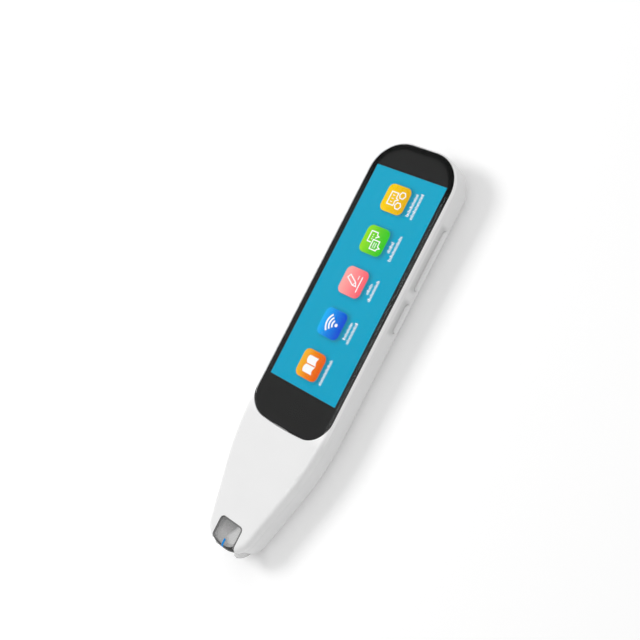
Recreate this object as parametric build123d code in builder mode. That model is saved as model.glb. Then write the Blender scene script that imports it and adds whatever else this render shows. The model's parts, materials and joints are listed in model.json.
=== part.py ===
from build123d import *
import os

os.makedirs("parts", exist_ok=True)

# A scanning pen that lies on its flat back. X points to the key side, Y to the rounded top end,
# Z out of the screen. The origin is the middle of the flat back. All sizes are in millimetres.

# Driving sizes of the casing
body_length = 153.0
body_width = 36.8
body_depth = 14.0
wall = 1.6
back_wall = 1.5
back_radius = 6.0
front_radius = 2.0
top_corner_radius = 12.9
top_bow = 0.25
taper_length = 38.4
taper_bend_radius = 99.0
tip_width = 17.4
tip_bow = 1.6
tip_corner_radius = 9.0
split_height = 10.5
seam_chamfer = 0.12
tongue_height = 2.0
tongue_wall = 0.75
fit_gap = 0.05
overrun = 1.0

half_width = body_width / 2
top_y = body_length / 2
tip_y = -body_length / 2
taper_y = tip_y + taper_length

# Screen stack, from the cover glass inwards
chin_length = 45.3
screen_side_border = 2.36
screen_top_border = 10.2
screen_bottom_border = 14.85
glass_thickness = 1.0
glass_rim = 0.64
glass_from_top = 0.55
glass_bottom_radius = 9.3
glass_bottom_bow = 1.4
glass_top_bow = 0.25
glass_edge_radius = 0.3
gasket_thickness = 0.2
gasket_inset = 0.3
gasket_reveal = 0.1
panel_thickness = 1.2
panel_side_border = 0.85
panel_top_border = 0.6
panel_flex_border = 4.6
backlight_thickness = 0.7
tray_sheet = 0.25
tray_wall_height = 1.6
tray_clear = 0.1
tray_corner_radius = 1.2
face_wall = 2.0
display_flex_width = 9.4
flex_side_gap = 2.3
flex_slot_length = 3.2
flex_thickness = 0.15
flex_landing = 3.0

glass_half_width = half_width - glass_rim
glass_top_radius = top_corner_radius - glass_rim
glass_top_y = top_y - glass_from_top
glass_bottom_y = tip_y + chin_length
screen_width = 2 * (glass_half_width - screen_side_border)
screen_top_y = glass_top_y - screen_top_border
screen_bottom_y = glass_bottom_y + screen_bottom_border
screen_length = screen_top_y - screen_bottom_y
screen_y = (screen_top_y + screen_bottom_y) / 2
glass_under_z = body_depth - glass_thickness
gasket_under_z = glass_under_z - gasket_thickness
face_under_z = body_depth - face_wall
panel_under_z = gasket_under_z - panel_thickness
backlight_under_z = panel_under_z - backlight_thickness
tray_under_z = backlight_under_z - tray_sheet
panel_width = screen_width + 2 * panel_side_border
panel_top_y = screen_top_y + panel_top_border
panel_bottom_y = screen_bottom_y - panel_flex_border
panel_length = panel_top_y - panel_bottom_y
panel_mid_y = (panel_top_y + panel_bottom_y) / 2
tray_margin = fit_gap + tray_sheet
tray_inner_radius = tray_corner_radius - tray_sheet
tray_width = panel_width + 2 * tray_margin
tray_length = panel_length + 2 * tray_margin
opening_width = tray_width + 2 * tray_clear
opening_length = tray_length + 2 * tray_clear
flex_slot_width = display_flex_width + 2 * flex_side_gap

# Chassis, board and its parts
chassis_thickness = 1.2
chassis_gap = 0.15
chassis_end_margin = 1.5
chassis_slot_width = 12.5
chassis_slot_length_share = 0.75
board_thickness = 1.0
board_inset = 0.6
board_from_tip = 33.5
board_top_inset = 4.5
screw_radius = 0.7
screw_head_radius = 1.4
screw_head_height = 0.8
screw_slot_share = 0.35
screw_hole_gap = 0.12
screw_bite = 0.5
screw_top_inset = 6.2
screw_top_spread = 12.4
screw_from_tip = 37.5
screw_chin_spread = 20.0
boss_wall = 1.0
can_width = 17.0
can_length = 20.0
can_height = 1.6
can_from_top = 38.5
can_from_side = 13.9
can_sheet = 0.2
can_corner_radius = 0.8
chip_width = 6.0
chip_height = 0.9
chip_gap = 3.0
chip_count = 3
chip_from_top = 67.5
chip_from_side = 9.4
antenna_width = 5.0
antenna_length = 22.0
antenna_thickness = 0.15
antenna_from_top = 36.5
antenna_from_side = 8.9
antenna_slot_width_share = 0.34
antenna_slot_length_share = 0.66

chassis_under_z = tray_under_z - chassis_thickness
board_under_z = chassis_under_z - board_thickness
board_top_y = top_y - board_top_inset
board_end_y = tip_y + board_from_tip
can_x = can_from_side - half_width
chip_x = chip_from_side - half_width
antenna_x = antenna_from_side - half_width
screw_top_y = top_y - screw_top_inset
screw_chin_y = tip_y + screw_from_tip
screw_places = [
    (-screw_top_spread / 2, screw_top_y),
    (screw_top_spread / 2, screw_top_y),
    (-screw_chin_spread / 2, screw_chin_y),
    (screw_chin_spread / 2, screw_chin_y),
]

# Speaker and its grille
grille_row_spacing = 1.85
grille_end_margin = 1.75
grille_from_top = 15.3
grille_rows = 3
grille_middle_count = 11
grille_hole_radii = (0.53, 0.45, 0.35)
grille_ring_shares = (0.2, 0.34)
speaker_from_side = 6.4
speaker_width = 10.0
speaker_height = 3.2
speaker_ring_wall = 0.8
speaker_ring_height = 1.4
speaker_cone_recess = 0.4
speaker_cone_rim = 1.2
mesh_thickness = 0.15

grille_y = top_y - grille_from_top
speaker_length = body_width - 2 * speaker_from_side
grille_spacing = (speaker_length - 2 * grille_end_margin) / (grille_middle_count - 1)

# Charging socket and microphone in the top end
usb_width = 8.94
usb_height = 3.26
usb_length = 7.3
usb_sheet = 0.28
usb_recess = 0.5
usb_opening_gap = 0.08
usb_tongue_width = 6.7
usb_tongue_thickness = 0.7
usb_tongue_length = 5.2
usb_tongue_corner_share = 0.33
mic_radius = 1.5
mic_length = 2.6
mic_gap = 0.3
mic_hole_radius = 0.6

usb_z = board_under_z - usb_height / 2
mic_z = board_under_z - mic_radius
mic_x = screw_top_spread / 2 + screw_head_radius + mic_gap + mic_radius
mic_into_corner = max(0, mic_x + mic_radius - half_width + top_corner_radius)
mic_corner_rise = ((top_corner_radius - wall) ** 2 - mic_into_corner**2) ** (1 / 2)
mic_wall_y = top_y - top_bow - top_corner_radius + mic_corner_rise
mic_top_y = min(board_top_y, mic_wall_y - mic_gap)

# Battery
battery_from_side = 5.9
battery_thickness = 5.0
battery_edge_radius = 1.4
battery_from_tip = 35.5
battery_from_top = 59.5
pad_thickness = 0.5
pad_inset = 3.5
battery_circuit_length = 3.2
battery_circuit_thickness = 0.8
battery_rib_height = 2.4
battery_rib_thickness = 1.0
battery_rib_gap = 0.3

battery_under_z = back_wall + pad_thickness
battery_bottom_y = tip_y + battery_from_tip
battery_top_y = top_y - battery_from_top
battery_y = (battery_bottom_y + battery_top_y) / 2
battery_width = body_width - 2 * battery_from_side
battery_length = battery_top_y - battery_bottom_y

# Keys on the side wall and the switches behind them
key_z = 6.5
key_width = 2.5
key_proud = 0.5
key_crown_radius = 0.4
key_gap = 0.15
key_flange_width = 3.6
key_flange_thickness = 0.6
key_flange_margin = 1.0
key_pocket_gap = 0.4
volume_key_length = 22.4
volume_key_from_top = 34.7
volume_key_stop_gap = 0.35
volume_key_nub_spacing = 16.0
volume_key_nub_gap = 0.2
power_key_length = 10.7
power_key_from_top = 56.45
power_key_stop_gap = 0.05
power_key_nub_gap = 0.3
key_nub_radius = 0.7
key_rib_width = 1.0
key_board_from_side = 5.1
key_board_thickness = 0.4
key_board_height = 3.6
key_board_length = 46.0
key_bracket_sheet = 0.5
key_bracket_foot_length = 18.0
key_bracket_foot_width = 3.6
switch_depth = 1.2
switch_length = 3.4
switch_width = 2.6
switch_plunger_radius = 0.6
switch_plunger_length = 0.3
switch_edge_radius = 0.2

volume_key_y = top_y - volume_key_from_top
power_key_y = top_y - power_key_from_top
pocket_x = half_width - wall
key_board_x = half_width - key_board_from_side
switch_x = key_board_x + key_board_thickness
plunger_end_x = switch_x + switch_depth + switch_plunger_length
key_board_y = (volume_key_y + power_key_y) / 2

# Scanning tip: the sliding head and the openings it runs in
head_travel = 1.2
window_top_from_tip = 9.7
window_top_width = 10.3
window_bottom_width = 10.5
window_corner_radius = 1.5
window_gap = 0.15
window_recess = 0.6
window_overlap = 1.4
window_rim_radius = 0.2
hood_thickness = 1.2
hood_corner_radius = 0.5
hood_end_radius = 1.9
cheek_thickness = 0.9
cheek_rear_clear = 0.6
cheek_front_from_tip = 1.4
cheek_arc_radius = 7.8
foot_past_tip = 0.65
foot_top_z = 10.6
foot_radius = 1.2
cutout_from_tip = 13.6
cutout_top_width = 13.2
cutout_bottom_width = 15.4
cutout_corner_radius = 1.6
liner_thickness = 0.8
liner_end_radius = 7.93
liner_end_x = -1.6
liner_end_from_tip = 8.33
frame_bar = 1.1
frame_rim_width = 0.8
frame_rim_depth = 0.8
frame_rim_from_tip = 2.3
aperture_width = 6.6
aperture_height = 6.0
aperture_radius = 1.0
lip_inset = 0.1
mark_width = 0.8
mark_length = 3.3
mark_depth = 0.25
mark_end_rise = 0.2
carriage_plate_thickness = 1.0
carriage_floor_gap = 0.5
carriage_length = 9.2
carriage_half_width = 5.3
carriage_bar_width = 8.4
carriage_rail_width = 1.0
carriage_rail_height = 1.0
carriage_finger_width = 2.0
carriage_finger_length = 2.6
bumper_width = 1.0
bumper_gap = 0.15

window_top_y = tip_y + window_top_from_tip
hood_top_y = window_top_y + window_overlap
window_z = body_depth - window_recess
hood_under_z = window_z - hood_thickness
cutout_top_y = tip_y + cutout_from_tip
liner_top_z = hood_under_z - fit_gap
liner_under_z = liner_top_z - liner_thickness
liner_end_y = tip_y + liner_end_from_tip
mark_end_z = hood_under_z + mark_end_rise
foot_y = tip_y - foot_past_tip
cheek_front_y = tip_y + cheek_front_from_tip
cheek_arc_y = foot_y + cheek_arc_radius
cheek_arc_z = cheek_rear_clear + cheek_arc_radius
carriage_z = back_wall + carriage_floor_gap
carriage_top_z = carriage_z + carriage_plate_thickness
carriage_top_y = hood_top_y + carriage_length
carriage_bar_left = carriage_half_width - carriage_bar_width
bar_top_y = cutout_top_y + overrun

# Camera, lamps, guide, springs and switch behind the head
guide_base = 0.35
guide_wall = 1.0
guide_gap = 0.15
guide_height = 3.3
guide_from_cutout = 1.7
guide_stop_thickness = 1.0
guide_window_width = 6.0
guide_window_share = 0.5
lens_z = 7.6
lens_radius = 2.6
lens_nose_radius = 2.2
lens_length = 7.4
lens_nose_length = 2.0
lens_glass_radius = 1.5
lens_glass_depth = 0.6
lens_clear = 0.5
holder_width = 8.4
holder_height = 5.4
holder_length = 4.6
holder_foot_width = 12.6
holder_foot_thickness = 0.9
holder_foot_length = 3.0
sensor_width = 10.0
sensor_height = 6.6
sensor_thickness = 0.8
lamp_board_width = 10.0
lamp_board_height = 6.6
lamp_board_thickness = 0.6
lamp_size = 1.5
lamp_height = 0.6
lamp_spread_x = 7.4
lamp_spread_z = 3.8
spring_space = 6.4
spring_radius = 0.85
spring_wire = 0.3
spring_wire_sides = 6
spring_turns = 5
spring_spread = 8.0
spring_lift = 0.12
switch_box_width = 3.6
switch_box_length = 2.4
switch_box_height = 1.7
trigger_reach = 0.7
camera_flex_width = 5.0
camera_flex_share = 0.33

guide_bottom_y = cutout_top_y + guide_from_cutout
guide_stop_y = carriage_top_y + spring_space
guide_top_y = guide_stop_y + guide_stop_thickness
guide_length = guide_top_y - guide_bottom_y
guide_top_z = back_wall + guide_base + guide_height
guide_half_width = carriage_half_width + guide_gap + guide_wall
lens_top_y = hood_top_y + head_travel + lens_clear + lens_length


def pen_outline(inset):
    """Plan of the casing, drawn in by a distance: straight sides, a long bend, a rounded tip."""
    with BuildSketch() as plan:
        with BuildLine():
            Polyline(
                (tip_width / 2, tip_y + tip_bow),
                (half_width, taper_y),
                (half_width, top_y - top_bow),
            )
            ThreePointArc((half_width, top_y - top_bow), (0, top_y), (-half_width, top_y - top_bow))
            Polyline(
                (-half_width, top_y - top_bow),
                (-half_width, taper_y),
                (-tip_width / 2, tip_y + tip_bow),
            )
            ThreePointArc((-tip_width / 2, tip_y + tip_bow), (0, tip_y), (tip_width / 2, tip_y + tip_bow))
        make_face()
        fillet(plan.vertices().sort_by(Axis.Y)[-2:], radius=top_corner_radius)
        fillet(plan.vertices().sort_by(Axis.Y)[2:4], radius=taper_bend_radius)
        fillet(plan.vertices().sort_by(Axis.Y)[:2], radius=tip_corner_radius)
        if inset:
            offset(amount=-inset)
    return plan.sketch


def glass_outline(inset):
    """Plan of the cover glass, with large top corners, smaller bottom ones and bowed ends."""
    half = glass_half_width
    low = glass_bottom_y + glass_bottom_bow
    high = glass_top_y - glass_top_bow
    with BuildSketch() as plan:
        with BuildLine():
            Line((half, low), (half, high))
            ThreePointArc((half, high), (0, glass_top_y), (-half, high))
            Line((-half, high), (-half, low))
            ThreePointArc((-half, low), (0, glass_bottom_y), (half, low))
        make_face()
        fillet(plan.vertices().group_by(Axis.Y)[-1], radius=glass_top_radius)
        fillet(plan.vertices().group_by(Axis.Y)[0], radius=glass_bottom_radius)
        if inset:
            offset(amount=-inset)
    return plan.sketch


def tip_outline(top_width, bottom_width, top, corner_radius, margin):
    """Plan of a slot that opens at the tip, with two round corners at its top. It widens evenly:
    the widths are those at the window's top and at the tip of the casing."""
    slope = (bottom_width - top_width) / (2 * window_top_from_tip)
    end = tip_y - foot_past_tip - overrun
    top_end = top + margin
    top_half = top_width / 2 + margin + slope * (window_top_y - top_end)
    end_half = top_width / 2 + margin + slope * (window_top_y - end)
    with BuildSketch() as plan:
        with BuildLine():
            Polyline(
                (-end_half, end), (-top_half, top_end), (top_half, top_end), (end_half, end), close=True
            )
        make_face()
        fillet(plan.vertices().group_by(Axis.Y)[-1], radius=corner_radius)
    return plan.sketch


def side_profile(inset):
    """Side view of a cheek of the head: a quarter round rear edge that ends in a foot."""
    with BuildSketch(Plane.YZ) as profile:
        with BuildLine():
            Line((hood_top_y, hood_under_z), (hood_top_y, cheek_rear_clear))
            Line((hood_top_y, cheek_rear_clear), (cheek_arc_y, cheek_rear_clear))
            CenterArc((cheek_arc_y, cheek_arc_z), cheek_arc_radius, 270, -90)
            Polyline(
                (foot_y, cheek_arc_z),
                (foot_y, foot_top_z),
                (cheek_front_y, foot_top_z),
                (cheek_front_y, hood_under_z),
                (hood_top_y, hood_under_z),
            )
        make_face()
        fillet(profile.vertices().group_by(Axis.X)[0].sort_by(Axis.Y)[-1], radius=foot_radius)
        if inset:
            offset(amount=-inset, kind=Kind.INTERSECTION)
    return profile.sketch


def window_side(inset):
    """Side view of the lower half of the window with its round end, drawn in by a distance."""
    with BuildSketch() as side:
        with Locations((tip_y + inset, hood_under_z - hood_thickness)):
            Rectangle(window_top_from_tip / 2, 2 * hood_thickness - inset, align=Align.MIN)
        fillet(side.vertices().group_by(Axis.X)[0].sort_by(Axis.Y)[-1], radius=hood_end_radius - inset)
    return side.sketch


def strip_between(top, bottom):
    """Wide plan that keeps only what lies between two places along the pen."""
    with BuildSketch() as plan:
        with Locations((0, (top + bottom) / 2)):
            Rectangle(body_width + overrun, top - bottom)
    return plan.sketch


def casing_blank(height, radius):
    """Full casing outline up to a height, with a round front edge."""
    with BuildPart() as blank:
        with BuildSketch():
            add(outer_plan)
        extrude(amount=height)
        fillet(blank.edges().group_by(Axis.Z)[-1], radius=radius)
    return blank.part


def finish(part, name):
    """Name a piece and write it."""
    part.label = name
    export_step(part, "parts/" + name + ".step")


outer_plan = pen_outline(0)
inner_plan = pen_outline(wall)
tongue_plan = pen_outline(wall - tongue_wall)
recess_plan = pen_outline(wall - tongue_wall - fit_gap)
pocket_plan = glass_outline(-fit_gap)
glass_plan = glass_outline(0)
gasket_plan = glass_outline(gasket_inset)
window_plan = tip_outline(
    window_top_width, window_bottom_width, window_top_y, window_corner_radius, window_gap
)
hood_plan = tip_outline(window_top_width, window_bottom_width, hood_top_y, hood_corner_radius, 0)
hood_inner_plan = tip_outline(
    window_top_width - 2 * cheek_thickness,
    window_bottom_width - 2 * cheek_thickness,
    hood_top_y + overrun,
    hood_corner_radius,
    0,
)
frame_plan = tip_outline(
    window_top_width - 2 * cheek_thickness - 2 * fit_gap,
    window_bottom_width - 2 * cheek_thickness - 2 * fit_gap,
    hood_top_y,
    hood_corner_radius,
    0,
)
mouth_plan = tip_outline(
    window_top_width - 2 * cheek_thickness - 2 * frame_rim_width,
    window_bottom_width - 2 * cheek_thickness - 2 * frame_rim_width,
    hood_top_y - frame_bar,
    hood_corner_radius,
    0,
)
cutout_plan = tip_outline(cutout_top_width, cutout_bottom_width, cutout_top_y, cutout_corner_radius, 0)


# Inside of the casing, used to hollow the rear shell and to trim what lies in it
with BuildPart() as cavity:
    with BuildSketch(Plane.XY.offset(back_wall)):
        add(inner_plan)
    extrude(amount=body_depth - back_wall)
    fillet(cavity.edges().group_by(Axis.Z)[0], radius=back_radius - wall)


# Rear shell: back, pillow edge and side walls up to the seam, with grille, key slots and ports
key_face = Plane(origin=(half_width, 0, key_z), x_dir=(0, 1, 0), z_dir=(1, 0, 0))
pocket_face = Plane(origin=(pocket_x, 0, key_z), x_dir=(0, 1, 0), z_dir=(1, 0, 0))
top_face = Plane(origin=(0, top_y, 0), x_dir=(-1, 0, 0), z_dir=(0, 1, 0))
key_places = ((volume_key_y, volume_key_length), (power_key_y, power_key_length))

with BuildPart() as rear_shell:
    with BuildSketch():
        add(outer_plan)
    extrude(amount=split_height)
    fillet(rear_shell.edges().group_by(Axis.Z)[0], radius=back_radius)
    chamfer(rear_shell.edges().group_by(Axis.Z)[-1], length=seam_chamfer)
    add(cavity.part, mode=Mode.SUBTRACT)
    with BuildSketch(Plane.XY.offset(split_height - tongue_height - fit_gap)):
        add(recess_plan)
    extrude(amount=tongue_height + fit_gap + overrun, mode=Mode.SUBTRACT)
    # Ring that holds the speaker
    with BuildSketch(Plane.XY.offset(back_wall)):
        with Locations((0, grille_y)):
            SlotOverall(speaker_length + 2 * speaker_ring_wall, speaker_width + 2 * speaker_ring_wall)
            SlotOverall(speaker_length + 2 * fit_gap, speaker_width + 2 * fit_gap, mode=Mode.SUBTRACT)
    extrude(amount=speaker_ring_height)
    # Ribs at both ends of the battery
    with BuildSketch(Plane.XY.offset(back_wall)):
        for rib_y in (battery_top_y + battery_rib_gap, battery_bottom_y - battery_rib_gap):
            side = 1 if rib_y > battery_y else -1
            with Locations((0, rib_y + side * battery_rib_thickness / 2)):
                Rectangle(battery_width - 2 * pad_inset, battery_rib_thickness)
    extrude(amount=battery_rib_height)
    # Grille: staggered rows whose holes shrink away from the middle
    with BuildSketch(Plane.XY):
        for row in range(grille_rows):
            row_from_middle = row - (grille_rows - 1) / 2
            count = grille_middle_count - round(abs(row_from_middle))
            for column in range(count):
                column_from_middle = column - (count - 1) / 2
                ring = abs(column_from_middle) + abs(row_from_middle)
                size = sum(ring > share * grille_middle_count for share in grille_ring_shares)
                x = column_from_middle * grille_spacing
                with Locations((x, grille_y + row_from_middle * grille_row_spacing)):
                    Circle(grille_hole_radii[size])
    extrude(amount=back_wall + overrun, mode=Mode.SUBTRACT)
    # Key slots through the wall, and flat pockets behind them
    with BuildSketch(key_face):
        for place, length in key_places:
            with Locations((place, 0)):
                SlotOverall(length + 2 * key_gap, key_width + 2 * key_gap)
    extrude(amount=-wall - overrun, mode=Mode.SUBTRACT)
    with BuildSketch(pocket_face):
        for place, length in key_places:
            with Locations((place, 0)):
                Rectangle(
                    length + 2 * key_flange_margin + 2 * key_pocket_gap,
                    key_flange_width + key_pocket_gap,
                )
    extrude(amount=-wall, mode=Mode.SUBTRACT)
    # Charging port and microphone hole in the top end
    with BuildSketch(top_face):
        with Locations((0, usb_z)):
            SlotOverall(usb_width + 2 * usb_opening_gap, usb_height + 2 * usb_opening_gap)
        with Locations((-mic_x, mic_z)):
            Circle(mic_hole_radius)
    extrude(amount=mic_top_y - top_y, mode=Mode.SUBTRACT)
    # Cut-out at the tip, where the head slides
    with BuildSketch(Plane.XY):
        add(cutout_plan)
    extrude(amount=split_height + overrun, mode=Mode.SUBTRACT)
finish(rear_shell.part, "rear_shell")


# Front housing: bezel around the glass, chin, and the tongue that centres it in the rear shell
with BuildPart() as front_housing:
    with BuildSketch(Plane.XY.offset(split_height)):
        add(outer_plan)
    extrude(amount=body_depth - split_height)
    fillet(front_housing.edges().group_by(Axis.Z)[-1], radius=front_radius)
    with BuildSketch(Plane.XY.offset(split_height)):
        add(inner_plan)
    extrude(amount=face_under_z - split_height, mode=Mode.SUBTRACT)
    with BuildSketch(Plane.XY.offset(split_height)):
        add(tongue_plan)
        add(inner_plan, mode=Mode.SUBTRACT)
    extrude(amount=-tongue_height)
    with BuildSketch(Plane.XY.offset(gasket_under_z)):
        add(pocket_plan)
    extrude(amount=body_depth, mode=Mode.SUBTRACT)
    with BuildSketch(Plane.XY.offset(face_under_z - overrun)):
        with Locations((0, panel_mid_y)):
            RectangleRounded(opening_width, opening_length, tray_corner_radius)
    extrude(amount=body_depth, mode=Mode.SUBTRACT)
    # Window for the head, and the pocket under its top edge
    with BuildSketch(Plane.XY.offset(split_height - tongue_height - overrun)):
        add(window_plan)
    extrude(amount=body_depth, mode=Mode.SUBTRACT)
    with BuildSketch(Plane.XY.offset(split_height - tongue_height - overrun)):
        with Locations((0, (hood_top_y + window_top_y) / 2)):
            Rectangle(
                window_top_width + 2 * window_gap,
                hood_top_y - window_top_y + 2 * head_travel + 2 * window_gap,
            )
    extrude(amount=window_z - split_height + tongue_height + overrun + window_gap / 2, mode=Mode.SUBTRACT)
    window_rim = front_housing.faces().sort_by(Axis.Z)[-1].edges().filter_by(
        lambda edge: edge.center().Y < hood_top_y and abs(edge.center().X) < window_bottom_width / 2 + overrun
    )
    fillet(window_rim, radius=window_rim_radius)
    # The tongue ends where the rear shell is cut out
    with BuildSketch(Plane.XY.offset(split_height)):
        add(cutout_plan)
    extrude(amount=-tongue_height - overrun, mode=Mode.SUBTRACT)
    # Screw bosses down to the chassis, with their pilot holes
    with BuildSketch(Plane.XY.offset(tray_under_z)):
        with Locations(*screw_places):
            Circle(screw_radius + boss_wall)
    extrude(amount=face_under_z - tray_under_z)
    with BuildSketch(Plane.XY.offset(tray_under_z)):
        with Locations(*screw_places):
            Circle(screw_radius + fit_gap / 2)
    extrude(amount=face_under_z - tray_under_z + screw_bite, mode=Mode.SUBTRACT)
finish(front_housing.part, "front_housing")


# Cover glass with rounded front edges
with BuildPart() as cover_glass:
    with BuildSketch(Plane.XY.offset(glass_under_z)):
        add(glass_plan)
    extrude(amount=glass_thickness)
    fillet(cover_glass.edges().group_by(Axis.Z)[-1], radius=glass_edge_radius)
    add(casing_blank(body_depth, front_radius), mode=Mode.INTERSECT)
finish(cover_glass.part, "cover_glass")


# Black adhesive frame that bonds the glass and hides the border of the panel
with BuildPart() as glass_gasket:
    with BuildSketch(Plane.XY.offset(gasket_under_z)):
        add(gasket_plan)
        with Locations((0, screen_y)):
            Rectangle(
                screen_width + 2 * gasket_reveal, screen_length + 2 * gasket_reveal, mode=Mode.SUBTRACT
            )
    extrude(amount=gasket_thickness)
finish(glass_gasket.part, "glass_gasket")


# Display panel
with BuildPart() as display_panel:
    with BuildSketch(Plane.XY.offset(panel_under_z)):
        with Locations((0, panel_mid_y)):
            RectangleRounded(panel_width, panel_length, tray_inner_radius - fit_gap)
    extrude(amount=panel_thickness)
finish(display_panel.part, "display_panel")


# Light guide behind the panel
with BuildPart() as backlight:
    with BuildSketch(Plane.XY.offset(backlight_under_z)):
        with Locations((0, screen_y)):
            RectangleRounded(
                screen_width + panel_side_border,
                screen_length + panel_side_border,
                panel_side_border / 2,
            )
    extrude(amount=backlight_thickness)
finish(backlight.part, "backlight")


# Pressed steel tray that holds the panel and the light guide
with BuildPart() as display_tray:
    with BuildSketch(Plane.XY.offset(tray_under_z)):
        with Locations((0, panel_mid_y)):
            RectangleRounded(tray_width, tray_length, tray_corner_radius)
    extrude(amount=tray_wall_height)
    with BuildSketch(Plane.XY.offset(tray_under_z + tray_sheet)):
        with Locations((0, panel_mid_y)):
            RectangleRounded(
                tray_width - 2 * tray_sheet, tray_length - 2 * tray_sheet, tray_inner_radius
            )
    extrude(amount=tray_wall_height, mode=Mode.SUBTRACT)
    with BuildSketch(Plane.XY.offset(tray_under_z)):
        with Locations((0, panel_bottom_y - tray_margin)):
            Rectangle(flex_slot_width, flex_slot_length)
    extrude(amount=tray_wall_height, mode=Mode.SUBTRACT)
finish(display_tray.part, "display_tray")


# Chassis plate between the display and the board
with BuildPart() as chassis:
    with BuildSketch(Plane.XY.offset(chassis_under_z)):
        add(pen_outline(wall + chassis_gap))
        add(
            strip_between(board_top_y + chassis_end_margin, board_end_y - chassis_end_margin),
            mode=Mode.INTERSECT,
        )
        with Locations((0, panel_bottom_y - flex_slot_length / 2)):
            Rectangle(flex_slot_width, flex_slot_length, mode=Mode.SUBTRACT)
        with Locations(*screw_places):
            Circle(screw_radius + screw_hole_gap, mode=Mode.SUBTRACT)
        with Locations((0, screen_y)):
            SlotOverall(
                screen_length * chassis_slot_length_share,
                chassis_slot_width,
                rotation=90,
                mode=Mode.SUBTRACT,
            )
    extrude(amount=chassis_thickness)
finish(chassis.part, "chassis")


# Main circuit board
with BuildPart() as main_board:
    with BuildSketch(Plane.XY.offset(board_under_z)):
        add(pen_outline(wall + board_inset))
        add(strip_between(board_top_y, board_end_y), mode=Mode.INTERSECT)
        with Locations((0, panel_bottom_y - flex_slot_length / 2)):
            Rectangle(flex_slot_width, flex_slot_length, mode=Mode.SUBTRACT)
        with Locations(*screw_places):
            Circle(screw_radius + screw_hole_gap, mode=Mode.SUBTRACT)
    extrude(amount=board_thickness)
finish(main_board.part, "main_board")


# Screws that clamp the board and the chassis to the bosses of the front housing
with BuildPart() as board_screws:
    with BuildSketch(Plane.XY.offset(board_under_z)):
        with Locations(*screw_places):
            Circle(screw_radius)
    extrude(amount=face_under_z - board_under_z + screw_bite - fit_gap)
    with BuildSketch(Plane.XY.offset(board_under_z)):
        with Locations(*screw_places):
            Circle(screw_head_radius)
    extrude(amount=-screw_head_height)
    with BuildSketch(Plane.XY.offset(board_under_z - screw_head_height)):
        with Locations(*screw_places):
            Rectangle(2 * screw_head_radius * screw_slot_share, screw_head_radius * screw_slot_share)
            Rectangle(screw_head_radius * screw_slot_share, 2 * screw_head_radius * screw_slot_share)
    extrude(amount=screw_head_height * screw_slot_share, mode=Mode.SUBTRACT)
finish(board_screws.part, "board_screws")


# Shielding can over the processor
with BuildPart() as shield_can:
    with BuildSketch(Plane.XY.offset(board_under_z)):
        with Locations((can_x, top_y - can_from_top)):
            RectangleRounded(can_width, can_length, can_corner_radius)
    extrude(amount=-can_height)
    fillet(shield_can.edges().group_by(Axis.Z)[0], radius=can_sheet)
    with BuildSketch(Plane.XY.offset(board_under_z)):
        with Locations((can_x, top_y - can_from_top)):
            Rectangle(can_width - 2 * can_sheet, can_length - 2 * can_sheet)
    extrude(amount=can_sheet - can_height, mode=Mode.SUBTRACT)
finish(shield_can.part, "shield_can")


# Row of chips beside the battery end of the board
with BuildPart() as board_chips:
    with BuildSketch(Plane.XY.offset(board_under_z)):
        with Locations((chip_x, top_y - chip_from_top)):
            with GridLocations(0, chip_width + chip_gap, 1, chip_count):
                Rectangle(chip_width, chip_width)
    extrude(amount=-chip_height)
finish(board_chips.part, "board_chips")


# Aerial strip stuck to the inside of the back
with BuildPart() as antenna_strip:
    with BuildSketch(Plane.XY.offset(back_wall)):
        with Locations((antenna_x, top_y - antenna_from_top)):
            Rectangle(antenna_width, antenna_length)
            Rectangle(
                antenna_width * antenna_slot_width_share,
                antenna_length * antenna_slot_length_share,
                mode=Mode.SUBTRACT,
            )
    extrude(amount=antenna_thickness)
finish(antenna_strip.part, "antenna_strip")


# Loudspeaker with its cone, face down on the mesh
with BuildPart() as speaker:
    with BuildSketch(Plane.XY.offset(back_wall + mesh_thickness)):
        with Locations((0, grille_y)):
            SlotOverall(speaker_length, speaker_width)
    extrude(amount=speaker_height)
    with BuildSketch(Plane.XY.offset(back_wall + mesh_thickness)):
        with Locations((0, grille_y)):
            SlotOverall(speaker_length - 2 * speaker_cone_rim, speaker_width - 2 * speaker_cone_rim)
    extrude(amount=speaker_cone_recess, mode=Mode.SUBTRACT)
finish(speaker.part, "speaker")

with BuildPart() as speaker_mesh:
    with BuildSketch(Plane.XY.offset(back_wall)):
        with Locations((0, grille_y)):
            SlotOverall(speaker_length, speaker_width)
    extrude(amount=mesh_thickness)
finish(speaker_mesh.part, "speaker_mesh")


# Charging socket: a pressed shell, and the tongue inside it
usb_face = Plane(origin=(0, top_y - usb_recess, usb_z), x_dir=(-1, 0, 0), z_dir=(0, 1, 0))
with BuildPart() as usb_socket:
    with BuildSketch(usb_face):
        SlotOverall(usb_width, usb_height)
    extrude(amount=-usb_length)
    with BuildSketch(usb_face):
        SlotOverall(usb_width - 2 * usb_sheet, usb_height - 2 * usb_sheet)
    extrude(amount=-usb_length + usb_sheet, mode=Mode.SUBTRACT)
finish(usb_socket.part, "usb_socket")

with BuildPart() as usb_tongue:
    with BuildSketch(usb_face.offset(-usb_length + usb_sheet)):
        RectangleRounded(
            usb_tongue_width, usb_tongue_thickness, usb_tongue_thickness * usb_tongue_corner_share
        )
    extrude(amount=usb_tongue_length)
finish(usb_tongue.part, "usb_tongue")


# Microphone capsule below the end of the board, behind its hole
with BuildPart() as microphone:
    with BuildSketch(Plane(origin=(mic_x, mic_top_y, mic_z), z_dir=(0, -1, 0))):
        Circle(mic_radius)
    extrude(amount=mic_length)
finish(microphone.part, "microphone")


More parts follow.
